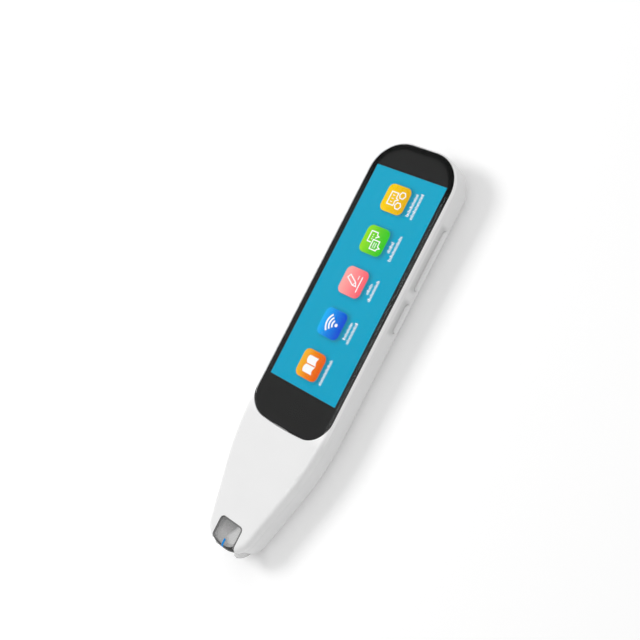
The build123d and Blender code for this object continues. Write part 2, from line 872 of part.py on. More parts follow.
# Battery pouch on its pad, with the small protection board at its top end
with BuildPart() as battery:
    with BuildSketch(Plane.XY.offset(battery_under_z)):
        with Locations((0, battery_y - battery_circuit_length / 2)):
            Rectangle(battery_width, battery_length - battery_circuit_length)
    extrude(amount=battery_thickness)
    fillet(battery.edges().filter_by(Axis.Y), radius=battery_edge_radius)
finish(battery.part, "battery")

with BuildPart() as battery_pad:
    with BuildSketch(Plane.XY.offset(back_wall)):
        with Locations((0, battery_y)):
            Rectangle(battery_width - 2 * pad_inset, battery_length - 2 * pad_inset)
    extrude(amount=pad_thickness)
finish(battery_pad.part, "battery_pad")

with BuildPart() as battery_circuit:
    with BuildSketch(Plane.XY.offset(battery_under_z + battery_thickness / 2)):
        with Locations((0, battery_top_y - battery_circuit_length / 2)):
            Rectangle(battery_width - 2 * pad_inset, battery_circuit_length)
    extrude(amount=battery_circuit_thickness)
finish(battery_circuit.part, "battery_circuit")


def side_key(part_plane, length, flange_x, inner_features):
    """Pill shaped key: a crowned cap, the flange that keeps it in, and what stands behind it."""
    with BuildPart() as key:
        with BuildSketch(part_plane.offset(key_proud)):
            SlotOverall(length, key_width)
        extrude(amount=-(half_width + key_proud - flange_x))
        fillet(key.faces().sort_by(Axis.X)[-1].edges(), radius=key_crown_radius)
        with BuildSketch(part_plane.offset(flange_x - half_width)):
            Rectangle(length + 2 * key_flange_margin, key_flange_width)
        extrude(amount=-key_flange_thickness)
        for end_x, radius, places in inner_features:
            with BuildSketch(part_plane.offset(flange_x - half_width - key_flange_thickness)):
                with Locations(*places):
                    Circle(radius)
            extrude(amount=-(flange_x - key_flange_thickness - end_x))
    return key.part


# Volume rocker, which tips about its middle rib, and the power key, which slides straight in
volume_face = Plane(origin=(half_width, volume_key_y, key_z), x_dir=(0, 1, 0), z_dir=(1, 0, 0))
power_face = Plane(origin=(half_width, power_key_y, key_z), x_dir=(0, 1, 0), z_dir=(1, 0, 0))
volume_nubs = ((-volume_key_nub_spacing / 2, 0), (volume_key_nub_spacing / 2, 0))
volume_key = side_key(
    volume_face,
    volume_key_length,
    pocket_x - volume_key_stop_gap,
    (
        (plunger_end_x + volume_key_nub_gap, key_nub_radius, volume_nubs),
        (switch_x + fit_gap, key_rib_width / 2, ((0, 0),)),
    ),
)
finish(volume_key, "volume_key")
power_key = side_key(
    power_face,
    power_key_length,
    pocket_x - power_key_stop_gap,
    ((plunger_end_x + power_key_nub_gap, key_nub_radius, ((0, 0),)),),
)
finish(power_key, "power_key")


# Key board: a narrow board with three push switches, on a folded bracket
key_board_plane = Plane(origin=(key_board_x, key_board_y, key_z), x_dir=(0, 1, 0), z_dir=(1, 0, 0))
switch_places = [(place[0] + volume_key_y - key_board_y, 0) for place in volume_nubs]
switch_places.append((power_key_y - key_board_y, 0))

with BuildPart() as key_board:
    with BuildSketch(key_board_plane):
        Rectangle(key_board_length, key_board_height)
    extrude(amount=key_board_thickness)
finish(key_board.part, "key_board")

with BuildPart() as key_switches:
    with BuildSketch(key_board_plane.offset(key_board_thickness)):
        with Locations(*switch_places):
            Rectangle(switch_length, switch_width)
    extrude(amount=switch_depth)
    fillet(key_switches.edges().filter_by(Axis.X), radius=switch_edge_radius)
    with BuildSketch(key_board_plane.offset(key_board_thickness + switch_depth)):
        with Locations(*switch_places):
            Circle(switch_plunger_radius)
    extrude(amount=switch_plunger_length)
finish(key_switches.part, "key_switches")

with BuildPart() as key_bracket:
    with BuildSketch(key_board_plane):
        Rectangle(key_board_length, key_board_height)
    extrude(amount=-key_bracket_sheet)
    bracket_height = key_z + key_board_height / 2 - back_wall
    with Locations((key_board_x - key_bracket_sheet, key_board_y, back_wall)):
        Box(
            key_bracket_sheet,
            key_bracket_foot_length,
            bracket_height,
            align=(Align.MIN, Align.CENTER, Align.MIN),
        )
        Box(
            key_bracket_foot_width,
            key_bracket_foot_length,
            key_bracket_sheet,
            align=(Align.MAX, Align.CENTER, Align.MIN),
        )
    add(cavity.part, mode=Mode.INTERSECT)
finish(key_bracket.part, "key_bracket")


# Window plate of the hood, and the groove for the guide mark, which runs over its round end
with BuildPart() as hood_plate:
    with BuildSketch(Plane.XY.offset(hood_under_z)):
        add(hood_plan)
    extrude(amount=hood_thickness)
    add(casing_blank(window_z, hood_end_radius), mode=Mode.INTERSECT)

with BuildPart() as mark_groove:
    with BuildSketch(Plane.YZ):
        with Locations((tip_y - overrun, mark_end_z)):
            Rectangle(mark_length + overrun, window_z - mark_end_z + overrun, align=Align.MIN)
        add(window_side(mark_depth), mode=Mode.SUBTRACT)
    extrude(amount=mark_width / 2, both=True)


# Coloured guide mark let into the window
with BuildPart() as guide_mark:
    add(hood_plate.part)
    add(mark_groove.part, mode=Mode.INTERSECT)
finish(guide_mark.part, "guide_mark")


# Hood of the scanning head: a smoky window with two cheeks that end in feet
with BuildPart() as scan_hood:
    with BuildSketch(Plane.XY):
        add(hood_plan)
    extrude(amount=hood_under_z)
    add(extrude(side_profile(0), amount=half_width, both=True, mode=Mode.PRIVATE), mode=Mode.INTERSECT)
    with BuildSketch(Plane.XY):
        add(hood_inner_plan)
    extrude(amount=hood_under_z, mode=Mode.SUBTRACT)
    add(hood_plate.part)
    add(mark_groove.part, mode=Mode.SUBTRACT)
finish(scan_hood.part, "scan_hood")


# White frame inside the hood: a bar with the camera's opening, a liner and two rear rims
rim_band = side_profile(0) - side_profile(frame_rim_depth)
with BuildPart() as head_frame:
    with BuildSketch(Plane.XY):
        add(frame_plan)
    extrude(amount=liner_top_z)
    add(extrude(rim_band, amount=half_width, both=True, mode=Mode.PRIVATE), mode=Mode.INTERSECT)
    with BuildSketch(Plane.XY):
        add(mouth_plan)
    extrude(amount=hood_under_z, mode=Mode.SUBTRACT)
    with BuildSketch(Plane.XY):
        add(strip_between(tip_y + frame_rim_from_tip, foot_y - overrun))
    extrude(amount=hood_under_z, mode=Mode.SUBTRACT)
    with BuildSketch(Plane.XY.offset(cheek_rear_clear)):
        add(frame_plan)
        add(strip_between(hood_top_y, hood_top_y - frame_bar), mode=Mode.INTERSECT)
    extrude(amount=liner_top_z - cheek_rear_clear)
    with BuildSketch(Plane.XY.offset(liner_under_z - fit_gap)):
        add(strip_between(liner_end_y, foot_y - overrun))
    extrude(amount=hood_thickness, mode=Mode.SUBTRACT)
    with BuildSketch(Plane.XY.offset(liner_under_z)):
        add(strip_between(hood_top_y, liner_end_y))
        with Locations((liner_end_x, liner_end_y)):
            Circle(liner_end_radius)
        add(frame_plan, mode=Mode.INTERSECT)
    extrude(amount=liner_thickness)
    with BuildSketch(Plane.XZ.offset(-hood_top_y)):
        with Locations((0, lens_z)):
            RectangleRounded(aperture_width, aperture_height, aperture_radius)
    extrude(amount=frame_bar, both=True, mode=Mode.SUBTRACT)
finish(head_frame.part, "head_frame")


# Dark lip between the round end of the liner and the lower edge of the window
with BuildPart() as scan_lip:
    with BuildSketch(Plane.XY.offset(liner_under_z)):
        add(hood_plan)
        add(strip_between(cheek_front_y - fit_gap, foot_y), mode=Mode.INTERSECT)
        add(frame_plan)
        add(strip_between(liner_end_y, foot_y), mode=Mode.INTERSECT)
        add(pen_outline(lip_inset), mode=Mode.INTERSECT)
        with Locations((liner_end_x, liner_end_y)):
            Circle(liner_end_radius + fit_gap, mode=Mode.SUBTRACT)
    extrude(amount=liner_thickness)
finish(scan_lip.part, "scan_lip")


# Carriage that carries the head: plate, bar behind the cut-out, two rails and a switch finger
with BuildPart() as head_carriage:
    bar_length = bar_top_y - hood_top_y
    with BuildSketch(Plane.XY.offset(carriage_z)):
        with Locations((carriage_bar_left, hood_top_y)):
            Rectangle(carriage_half_width - carriage_bar_left, bar_length, align=Align.MIN)
        with Locations((0, hood_top_y + bar_length)):
            Rectangle(
                2 * carriage_half_width, carriage_length - bar_length, align=(Align.CENTER, Align.MIN)
            )
        with Locations((0, carriage_top_y)):
            Rectangle(
                carriage_finger_width, carriage_finger_length, align=(Align.CENTER, Align.MIN)
            )
    extrude(amount=carriage_plate_thickness)
    with BuildSketch(Plane.XY.offset(carriage_top_z)):
        for side in (-1, 1):
            with Locations((side * (carriage_half_width - carriage_rail_width / 2), bar_top_y)):
                Rectangle(
                    carriage_rail_width, carriage_length - bar_length, align=(Align.CENTER, Align.MIN)
                )
    extrude(amount=carriage_rail_height)
finish(head_carriage.part, "head_carriage")


# Rubber bumper beside the bar
with BuildPart() as head_bumper:
    with BuildSketch(Plane.XY.offset(carriage_z)):
        with Locations((carriage_bar_left - bumper_gap - bumper_width, hood_top_y)):
            Rectangle(bumper_width, bar_top_y - hood_top_y - fit_gap, align=Align.MIN)
    extrude(amount=carriage_plate_thickness)
finish(head_bumper.part, "head_bumper")


# Guide channel for the carriage, fixed to the back, with an end wall for the springs
with BuildPart() as head_guide:
    with BuildSketch(Plane.XY.offset(back_wall)):
        with Locations((0, guide_bottom_y)):
            Rectangle(2 * guide_half_width, guide_length, align=(Align.CENTER, Align.MIN))
            Rectangle(
                guide_window_width,
                guide_length * guide_window_share,
                align=(Align.CENTER, Align.MIN),
                mode=Mode.SUBTRACT,
            )
    extrude(amount=guide_base)
    with BuildSketch(Plane.XY.offset(back_wall)):
        for side in (-1, 1):
            with Locations((side * (guide_half_width - guide_wall / 2), guide_bottom_y)):
                Rectangle(guide_wall, guide_length, align=(Align.CENTER, Align.MIN))
        with Locations((0, guide_top_y)):
            Rectangle(2 * guide_half_width, guide_stop_thickness, align=(Align.CENTER, Align.MAX))
    extrude(amount=guide_base + guide_height)
    with BuildSketch(Plane.XY.offset(back_wall + guide_base)):
        with Locations((0, guide_top_y)):
            Rectangle(
                switch_box_width + 2 * fit_gap, guide_stop_thickness, align=(Align.CENTER, Align.MAX)
            )
    extrude(amount=guide_height + overrun, mode=Mode.SUBTRACT)
    add(cavity.part, mode=Mode.INTERSECT)
finish(head_guide.part, "head_guide")


# Two return springs between the carriage and the end wall of the guide
spring_z = carriage_z + spring_radius + spring_wire / 2 + spring_lift
spring_start_y = carriage_top_y + spring_wire / 2 + fit_gap
spring_length = guide_stop_y - spring_start_y - spring_wire / 2 - fit_gap


def return_spring(x):
    """One open coil along the pen."""
    with BuildPart() as spring:
        with BuildLine() as coil:
            Helix(
                pitch=spring_length / spring_turns,
                height=spring_length,
                radius=spring_radius,
                center=(x, spring_start_y, spring_z),
                direction=(0, 1, 0),
            )
        with BuildSketch(Plane(origin=coil.line @ 0, z_dir=coil.line % 0)):
            RegularPolygon(spring_wire / 2, spring_wire_sides)
        sweep(path=coil.line, is_frenet=True)
    return spring.part


head_springs = Compound(
    children=[return_spring(side * spring_spread / 2) for side in (-1, 1)]
)
finish(head_springs, "head_springs")


# Push switch that the finger of the carriage reaches at the end of its travel
trigger_y = carriage_top_y + carriage_finger_length + head_travel + fit_gap
with BuildPart() as trigger_switch:
    with BuildSketch(Plane.XY.offset(back_wall + guide_base)):
        with Locations((0, trigger_y + trigger_reach)):
            Rectangle(switch_box_width, switch_box_length, align=(Align.CENTER, Align.MIN))
    extrude(amount=switch_box_height)
    fillet(trigger_switch.edges().filter_by(Axis.Z), radius=switch_edge_radius)
    with BuildSketch(Plane.XZ.offset(-trigger_y - trigger_reach)):
        with Locations((0, carriage_z + carriage_plate_thickness / 2)):
            Circle(switch_plunger_radius)
    extrude(amount=trigger_reach)
finish(trigger_switch.part, "trigger_switch")


# Camera: lens barrel, holder that stands on the guide, and sensor board
lens_plane = Plane(origin=(0, lens_top_y, lens_z), x_dir=(1, 0, 0), z_dir=(0, -1, 0))
with BuildPart() as camera_lens:
    with BuildSketch(lens_plane):
        Circle(lens_radius)
    extrude(amount=lens_length - lens_nose_length)
    with BuildSketch(lens_plane.offset(lens_length - lens_nose_length)):
        Circle(lens_nose_radius)
    extrude(amount=lens_nose_length)
    with BuildSketch(lens_plane.offset(lens_length)):
        Circle(lens_glass_radius)
    extrude(amount=-lens_glass_depth, mode=Mode.SUBTRACT)
finish(camera_lens.part, "camera_lens")

with BuildPart() as camera_holder:
    with BuildSketch(lens_plane):
        Rectangle(holder_width, holder_height)
    extrude(amount=-holder_length)
    with BuildSketch(Plane.XY.offset(guide_top_z)):
        with Locations((0, lens_top_y + holder_length)):
            Rectangle(holder_foot_width, holder_foot_length, align=(Align.CENTER, Align.MAX))
    extrude(amount=holder_foot_thickness)
finish(camera_holder.part, "camera_holder")

with BuildPart() as camera_sensor:
    with BuildSketch(lens_plane.offset(-holder_length)):
        Rectangle(sensor_width, sensor_height)
    extrude(amount=-sensor_thickness)
finish(camera_sensor.part, "camera_sensor")


# Ribbon from the sensor board up to the underside of the main board
sensor_back_y = lens_top_y + holder_length + sensor_thickness
with BuildPart() as camera_flex:
    with BuildSketch(Plane.YZ):
        with BuildLine():
            Polyline(
                (sensor_back_y + flex_thickness / 2, lens_z - sensor_height * camera_flex_share),
                (sensor_back_y + flex_thickness / 2, board_under_z - flex_thickness / 2),
                (board_end_y + flex_landing, board_under_z - flex_thickness / 2),
            )
        trace(line_width=flex_thickness)
    extrude(amount=camera_flex_width / 2, both=True)
finish(camera_flex.part, "camera_flex")


# Lamp board round the nose of the lens, and its four lamps
lamp_plane = lens_plane.offset(lens_length - lens_nose_length)
with BuildPart() as lamp_board:
    with BuildSketch(lamp_plane):
        Rectangle(lamp_board_width, lamp_board_height)
        Circle(lens_nose_radius + fit_gap, mode=Mode.SUBTRACT)
    extrude(amount=lamp_board_thickness)
finish(lamp_board.part, "lamp_board")

with BuildPart() as lamps:
    with BuildSketch(lamp_plane.offset(lamp_board_thickness)):
        with GridLocations(lamp_spread_x, lamp_spread_z, 2, 2):
            Rectangle(lamp_size, lamp_size)
    extrude(amount=lamp_height)
finish(lamps.part, "lamps")


# Ribbon from the panel down through the chassis to the board
flex_y = panel_bottom_y - tray_margin - flex_thickness
with BuildPart() as display_flex:
    with BuildSketch(Plane.YZ):
        with BuildLine():
            Polyline(
                (panel_bottom_y, panel_under_z + flex_thickness / 2 + fit_gap),
                (flex_y, panel_under_z + flex_thickness / 2 + fit_gap),
                (flex_y, board_under_z - flex_thickness / 2),
                (flex_y - flex_slot_length - flex_landing, board_under_z - flex_thickness / 2),
            )
        trace(line_width=flex_thickness)
    extrude(amount=display_flex_width / 2, both=True)
finish(display_flex.part, "display_flex")
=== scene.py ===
"""The looks of the scanning pen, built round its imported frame. Lengths are in metres."""

import json
import math

import bmesh
import bpy
from mathutils import Matrix, Vector


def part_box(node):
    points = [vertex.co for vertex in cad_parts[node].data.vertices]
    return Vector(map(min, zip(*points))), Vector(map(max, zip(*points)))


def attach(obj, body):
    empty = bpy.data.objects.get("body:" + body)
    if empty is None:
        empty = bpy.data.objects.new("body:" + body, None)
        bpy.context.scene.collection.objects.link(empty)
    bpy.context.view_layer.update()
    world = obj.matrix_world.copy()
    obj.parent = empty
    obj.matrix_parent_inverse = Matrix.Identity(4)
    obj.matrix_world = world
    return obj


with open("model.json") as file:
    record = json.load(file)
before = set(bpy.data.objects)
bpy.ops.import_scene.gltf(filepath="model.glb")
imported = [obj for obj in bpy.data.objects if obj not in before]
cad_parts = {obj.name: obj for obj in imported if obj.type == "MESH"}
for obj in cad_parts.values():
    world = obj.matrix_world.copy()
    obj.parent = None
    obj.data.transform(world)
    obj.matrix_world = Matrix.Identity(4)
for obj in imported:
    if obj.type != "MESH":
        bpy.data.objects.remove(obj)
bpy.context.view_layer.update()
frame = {"nodes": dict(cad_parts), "record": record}

MM = 0.001
UM = 0.000001


# Colours

def srgb(red, green, blue):
    """A colour given as 0 to 255 for each channel, as linear values."""
    def linear(value):
        share = value / 255
        return share / 12.92 if share <= 0.04045 else ((share + 0.055) / 1.055) ** 2.4
    return (linear(red), linear(green), linear(blue), 1.0)


def grey(value):
    return (value, value, value, 1.0)


# Places that materials and pieces share

hood_low, hood_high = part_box("scan_hood")
glass_low, glass_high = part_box("cover_glass")
panel_low, panel_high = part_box("display_panel")
panel_top = panel_high.z
window_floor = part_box("guide_mark")[1].z
GLASS_TOP_RADIUS = 12.3 * MM
GLASS_LOW_RADIUS = 9.0 * MM
PRINT_INSET = 0.25 * MM
TILE_WIDTH = 9.8 * MM
TILE_LENGTH = 10.2 * MM
TILE_RADIUS = 2.2 * MM
TILE_THICK = 0.04 * MM
TILE_LIFT = 0.01 * MM
TILE_X = -1.45 * MM
TILE_PITCH = 15.93 * MM
TILES = 5
MIDDLE_Y = 24.3 * MM


# Materials

WAVE_RATE = 20          # radians that the wave texture turns in one unit, at a scale of 1
GLOW = 1.02             # strength of the lit picture
NOISE_LOW = 0.3         # most of a noise's values lie between these two
NOISE_HIGH = 0.7


class Nodes:
    """Adds nodes to a tree and links them."""

    def __init__(self, tree):
        self.tree = tree
        self.place = self.add("ShaderNodeTexCoord").outputs["Object"]

    def add(self, kind, **values):
        node = self.tree.nodes.new(kind)
        for key, value in values.items():
            setattr(node, key, value)
        return node

    def feed(self, source, target):
        """Links a node's output, or sets a plain value."""
        if isinstance(source, bpy.types.NodeSocket):
            self.tree.links.new(source, target)
        else:
            target.default_value = source

    def calc(self, operation, *values):
        node = self.add("ShaderNodeMath", operation=operation)
        for value, target in zip(values, node.inputs):
            self.feed(value, target)
        return node.outputs[0]

    def past(self, value, start):
        """How far a value lies past a start, and zero before it."""
        return self.calc("MAXIMUM", self.calc("SUBTRACT", value, start), 0.0)

    def length(self, first, second):
        """The length of a line from its two sides."""
        squares = [self.calc("MULTIPLY", side, side) for side in (first, second)]
        return self.calc("SQRT", self.calc("ADD", *squares))

    def spread(self, factor, low, high, start=0.0, end=1.0, smooth=False):
        """Maps start..end of a factor to low..high."""
        node = self.add("ShaderNodeMapRange")
        if smooth:
            node.interpolation_type = "SMOOTHSTEP"
        for value, key in ((factor, "Value"), (start, "From Min"), (end, "From Max"),
                           (low, "To Min"), (high, "To Max")):
            self.feed(value, node.inputs[key])
        return node.outputs["Result"]

    def seen(self):
        """One where a ray comes from the camera, a gloss or a clear piece, and zero for light."""
        path = self.add("ShaderNodeLightPath").outputs
        direct = self.calc("MAXIMUM", path["Is Camera Ray"], path["Is Glossy Ray"])
        return self.calc("MAXIMUM", direct, path["Is Transmission Ray"])


class Finish(Nodes):
    """A procedural material: one Principled shader and the nodes that feed it."""

    def __init__(self, name, metallic=0.0):
        self.material = bpy.data.materials.new(name)
        self.material.use_nodes = True
        super().__init__(self.material.node_tree)
        self.shader = self.tree.nodes["Principled BSDF"]
        self.shader.inputs["Metallic"].default_value = metallic

    def axes(self):
        """The object's X, Y and Z."""
        node = self.add("ShaderNodeSeparateXYZ")
        self.feed(self.place, node.inputs[0])
        return node.outputs

    def stretched(self, stretch):
        """The object's coordinates, scaled by a factor along each axis."""
        node = self.add("ShaderNodeMapping")
        self.feed(self.place, node.inputs["Vector"])
        node.inputs["Scale"].default_value = stretch
        return node.outputs[0]

    def noise(self, size, detail=2.0, stretch=(1, 1, 1)):
        node = self.add("ShaderNodeTexNoise")
        self.feed(self.stretched(stretch), node.inputs["Vector"])
        node.inputs["Scale"].default_value = 1 / size
        node.inputs["Detail"].default_value = detail
        return node.outputs["Fac"]

    def cells(self, size, feature="F1"):
        node = self.add("ShaderNodeTexVoronoi", feature=feature)
        self.feed(self.place, node.inputs["Vector"])
        node.inputs["Scale"].default_value = 1 / size
        return node.outputs["Distance"]

    def bands(self, pitch, direction):
        """Even waves along an axis."""
        node = self.add("ShaderNodeTexWave", bands_direction=direction)
        self.feed(self.place, node.inputs["Vector"])
        node.inputs["Scale"].default_value = math.tau / (WAVE_RATE * pitch)
        return node.outputs["Fac"]

    def ramp(self, factor, *stops):
        """A colour ramp through (position, colour) stops."""
        node = self.add("ShaderNodeValToRGB")
        elements = node.color_ramp.elements
        while len(elements) < len(stops):
            elements.new(0.5)
        for element, (position, colour) in zip(elements, stops):
            element.position = position
            element.color = colour
        self.feed(factor, node.inputs[0])
        return node.outputs["Color"]

    def mix(self, factor, first, second, blend="MIX"):
        node = self.add("ShaderNodeMix", data_type="RGBA", blend_type=blend)
        colours = [socket for socket in node.inputs if socket.type == "RGBA"]
        self.feed(factor, node.inputs[0])
        self.feed(first, colours[0])
        self.feed(second, colours[1])
        return [socket for socket in node.outputs if socket.type == "RGBA"][0]

    def relief(self, height, depth):
        """Bump of a real depth from a 0..1 height."""
        node = self.add("ShaderNodeBump")
        node.inputs["Distance"].default_value = depth
        self.feed(height, node.inputs["Height"])
        self.feed(node.outputs[0], self.shader.inputs["Normal"])

    def colour(self, source):
        self.feed(source, self.shader.inputs["Base Color"])

    def base(self):
        """What feeds the base colour so far."""
        return self.shader.inputs["Base Color"].links[0].from_socket

    def rough(self, source):
        self.feed(source, self.shader.inputs["Roughness"])

    def lit(self, colour, cells):
        """A screen's glowing surface, bonded under the glass, so that it has no gloss."""
        self.colour(grey(0.0))
        self.rough(self.spread(cells, 0.8, 0.9))
        self.feed(colour, self.shader.inputs["Emission Color"])
        self.fixed(Emission_Strength=GLOW, Specular_IOR_Level=0.0)

    def fixed(self, **values):
        """Values that are the same all over the surface, set on the shader's own sockets."""
        for key, value in values.items():
            self.shader.inputs[key.replace("_", " ")].default_value = value


def toned(colour, factor):
    """A colour made darker or lighter by a factor."""
    return tuple(min(1.0, channel * factor) for channel in colour[:3]) + (1.0,)


CLOUD = 14 * MM
POLISH = 3 * MM
GRAIN = 0.28 * MM
GRAIN_DEPTH = 3 * UM
BRUSH_LINE = 0.08 * MM
BRUSH_STRETCH = 0.03


def moulded_plastic(name, colour, rough=(0.36, 0.44), tone=0.012):
    """Moulded plastic: a fine spark-eroded grain, and hardly visible flow clouds."""
    finish = Finish(name)
    darker, paler = toned(colour, 1 - tone), toned(colour, 1 + tone)
    cloud = finish.noise(CLOUD, 3.0)
    finish.colour(finish.ramp(cloud, (NOISE_LOW, darker), (NOISE_HIGH, paler)))
    finish.rough(finish.spread(finish.noise(POLISH), *rough, start=NOISE_LOW, end=NOISE_HIGH))
    grain = finish.calc("ADD", finish.cells(GRAIN), finish.noise(GRAIN / 2, 3.0))
    finish.relief(grain, GRAIN_DEPTH)
    return finish


def brushed_metal(name, colour, along, rough=(0.24, 0.38)):
    """Metal with fine drawn lines along one axis."""
    finish = Finish(name, metallic=1.0)
    stretch = [BRUSH_STRETCH if axis == along else 1 for axis in "XYZ"]
    lines = finish.noise(BRUSH_LINE, 4.0, stretch)
    finish.colour(finish.ramp(lines, (0.35, toned(colour, 0.86)), (0.65, colour)))
    finish.rough(finish.spread(lines, *rough, start=0.35, end=0.65))
    finish.relief(lines, 2 * UM)
    return finish


WINDOW_HALF = 5.42 * MM
WINDOW_TOP_Y = -66.6 * MM
WINDOW_RADIUS = 1.65 * MM
WINDOW_EDGE_SHADE = grey(0.22)
RIM_LOW_Z = 12.3 * MM
RIM_SOFT = 6.0 * MM
RIM_HIGHLIGHT = grey(0.98)


def window_casing(name, colour):
    """The casing's plastic, with a painted shade line where the edge of the window turns down to
    the hood.

    The narrow rim beside the glass is painted paler, a painted highlight.
    """
    finish = moulded_plastic(name, colour)
    x, y, z = finish.axes()
    # painted highlight: the rim beside the glass is coloured paler than the rest of the casing
    beside_glass = finish.spread(y, 0.0, 1.0, glass_low.y, glass_low.y + RIM_SOFT)
    rim = finish.calc("MULTIPLY", finish.calc("GREATER_THAN", z, RIM_LOW_Z), beside_glass)
    plain = finish.mix(rim, finish.base(), RIM_HIGHLIGHT)
    # painted shade: the window's edge, where it turns down to the hood, is coloured dark
    beside = finish.past(finish.calc("ABSOLUTE", x), WINDOW_HALF - WINDOW_RADIUS)
    beyond = finish.past(y, WINDOW_TOP_Y - WINDOW_RADIUS)
    inside = finish.calc("LESS_THAN", finish.length(beside, beyond), WINDOW_RADIUS)
    line = finish.calc("MULTIPLY", inside, finish.calc("GREATER_THAN", z, window_floor))
    finish.colour(finish.mix(line, plain, WINDOW_EDGE_SHADE))
    return finish


KEY_SHADE = grey(0.74)
KEY_SHADE_SOFT = 1.0 * MM
KEY_SHADE_REACH = 3.6 * MM
KEY_SHADE_X = 15.0 * MM


def walled_casing(name, colour):
    """The casing's plastic, with a soft shade in the side wall round each key's upper edge."""
    finish = moulded_plastic(name, colour)
    plain = finish.base()
    x, y, z = finish.axes()
    shades = []
    for low, high in (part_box("volume_key"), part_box("power_key")):
        middle = (low.y + high.y) / 2
        half = (high.y - low.y) / 2
        away = finish.calc("ABSOLUTE", finish.calc("SUBTRACT", y, middle))
        start, end = half - KEY_SHADE_SOFT, half + KEY_SHADE_SOFT
        shades.append(finish.spread(away, 1.0, 0.0, start, end, smooth=True))
        key_top = high.z
    off = finish.calc("ABSOLUTE", finish.calc("SUBTRACT", z, key_top))
    rise = finish.spread(off, 1.0, 0.0, 0.0, KEY_SHADE_REACH, smooth=True)
    outer = finish.calc("GREATER_THAN", x, KEY_SHADE_X)
    along = finish.calc("MAXIMUM", *shades)
    near = finish.calc("MULTIPLY", along, finish.calc("MULTIPLY", rise, outer))
    finish.colour(finish.mix(near, plain, finish.mix(1.0, plain, KEY_SHADE, "MULTIPLY")))
    return finish


KEY_LIGHT_LOW = 1.18
KEY_LIGHT_HIGH = 0.86


def key_plastic(name):
    """The keys' plastic, painted lighter on its lower side and darker on its upper side: painted
    light.
    """
    finish = moulded_plastic(name, grey(0.82), rough=(0.3, 0.36))
    low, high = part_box("volume_key")
    # painted light: paler towards the key's low Z, darker towards its high Z
    tone = finish.spread(finish.axes()["Z"], KEY_LIGHT_LOW, KEY_LIGHT_HIGH, low.z, high.z)
    finish.colour(finish.mix(1.0, finish.base(), tone, "MULTIPLY"))
    return finish


TRACK_CELL = 1.1 * MM
TRACK_DEPTH = 12 * UM
PAD_CELL = 1.7 * MM
RESIST = srgb(10, 84, 44)
RESIST_OVER_TRACK = srgb(30, 122, 62)
PAD = srgb(214, 186, 120)


def circuit_board(name):
    """Green solder resist with the tracks under it and pads with a bright finish."""
    finish = Finish(name)
    tracks = finish.cells(TRACK_CELL, "DISTANCE_TO_EDGE")
    track = finish.spread(tracks, 1.0, 0.0, 0.04, 0.09)
    resist = finish.mix(track, RESIST, RESIST_OVER_TRACK)
    pads = finish.spread(finish.cells(PAD_CELL), 1.0, 0.0, 0.16, 0.19)
    finish.colour(finish.mix(pads, resist, PAD))
    finish.feed(pads, finish.shader.inputs["Metallic"])
    finish.rough(finish.spread(finish.noise(0.6 * MM), 0.3, 0.42))
    finish.relief(finish.calc("MAXIMUM", track, pads), TRACK_DEPTH)
    return finish


def flex_circuit(name):
    """Amber film with copper tracks that run the length of the pen."""
    finish = Finish(name)
    tracks = finish.spread(finish.bands(0.5 * MM, "X"), 0.0, 1.0, 0.45, 0.6)
    film = finish.ramp(finish.noise(2 * MM), (NOISE_LOW, srgb(176, 96, 24)),
                       (NOISE_HIGH, srgb(198, 112, 32)))
    finish.colour(finish.mix(tracks, film, srgb(214, 140, 74)))
    finish.rough(finish.spread(tracks, 0.36, 0.26))
    finish.relief(tracks, 10 * UM)
    return finish


def pouch_foil(name):
    """Pressed aluminium foil with long soft creases."""
    finish = Finish(name, metallic=1.0)
    creases = finish.noise(5 * MM, 5.0, (1, 0.5, 1))
    foil = finish.ramp(creases, (NOISE_LOW, srgb(196, 198, 202)), (NOISE_HIGH, srgb(222, 224, 228)))
    finish.colour(foil)
    finish.rough(finish.spread(finish.noise(0.7 * MM), 0.3, 0.42))
    finish.relief(creases, 120 * UM)
    return finish


def cell_foam(name):
    finish = Finish(name)
    pores = finish.cells(0.35 * MM)
    finish.colour(finish.ramp(pores, (0.1, grey(0.012)), (0.6, grey(0.05))))
    finish.rough(finish.spread(pores, 0.95, 0.8))
    finish.relief(pores, 90 * UM)
    return finish


THREAD = 0.16 * MM


def woven_mesh(name):
    """Fine black gauze: threads that cross over and under each other."""
    finish = Finish(name)
    weave = finish.calc("MAXIMUM", finish.bands(THREAD, "X"), finish.bands(THREAD, "Y"))
    finish.colour(finish.ramp(weave, (0.55, grey(0.004)), (0.95, grey(0.04))))
    finish.rough(finish.spread(weave, 0.9, 0.6))
    finish.relief(weave, 40 * UM)
    return finish


def soft_rubber(name):
    finish = Finish(name)
    dust = finish.noise(0.5 * MM, 5.0)
    finish.colour(finish.ramp(dust, (0.4, grey(0.008)), (0.75, grey(0.016))))
    finish.rough(finish.spread(dust, 0.62, 0.8))
    finish.relief(finish.noise(0.12 * MM), 8 * UM)
    return finish


def cover_glass(name):
    """Polished glass with a coating that keeps its reflections low, and a trace of finger marks."""
    finish = Finish(name)
    finish.fixed(Transmission_Weight=1.0, IOR=1.2)
    marks = finish.noise(9 * MM, 6.0, (1, 0.6, 1))
    finish.colour(finish.ramp(marks, (0.35, grey(0.97)), (0.7, grey(0.99))))
    finish.rough(finish.spread(marks, 0.004, 0.03, 0.45, 0.75, smooth=True))
    finish.relief(finish.noise(22 * MM), 2 * UM)
    return finish


PRINT_GLOW = 0.019
PRINT_EDGE = grey(0.1)
PRINT_EDGE_BAND = 2.1 * MM
PRINT_EDGE_SOFT = 0.25 * MM


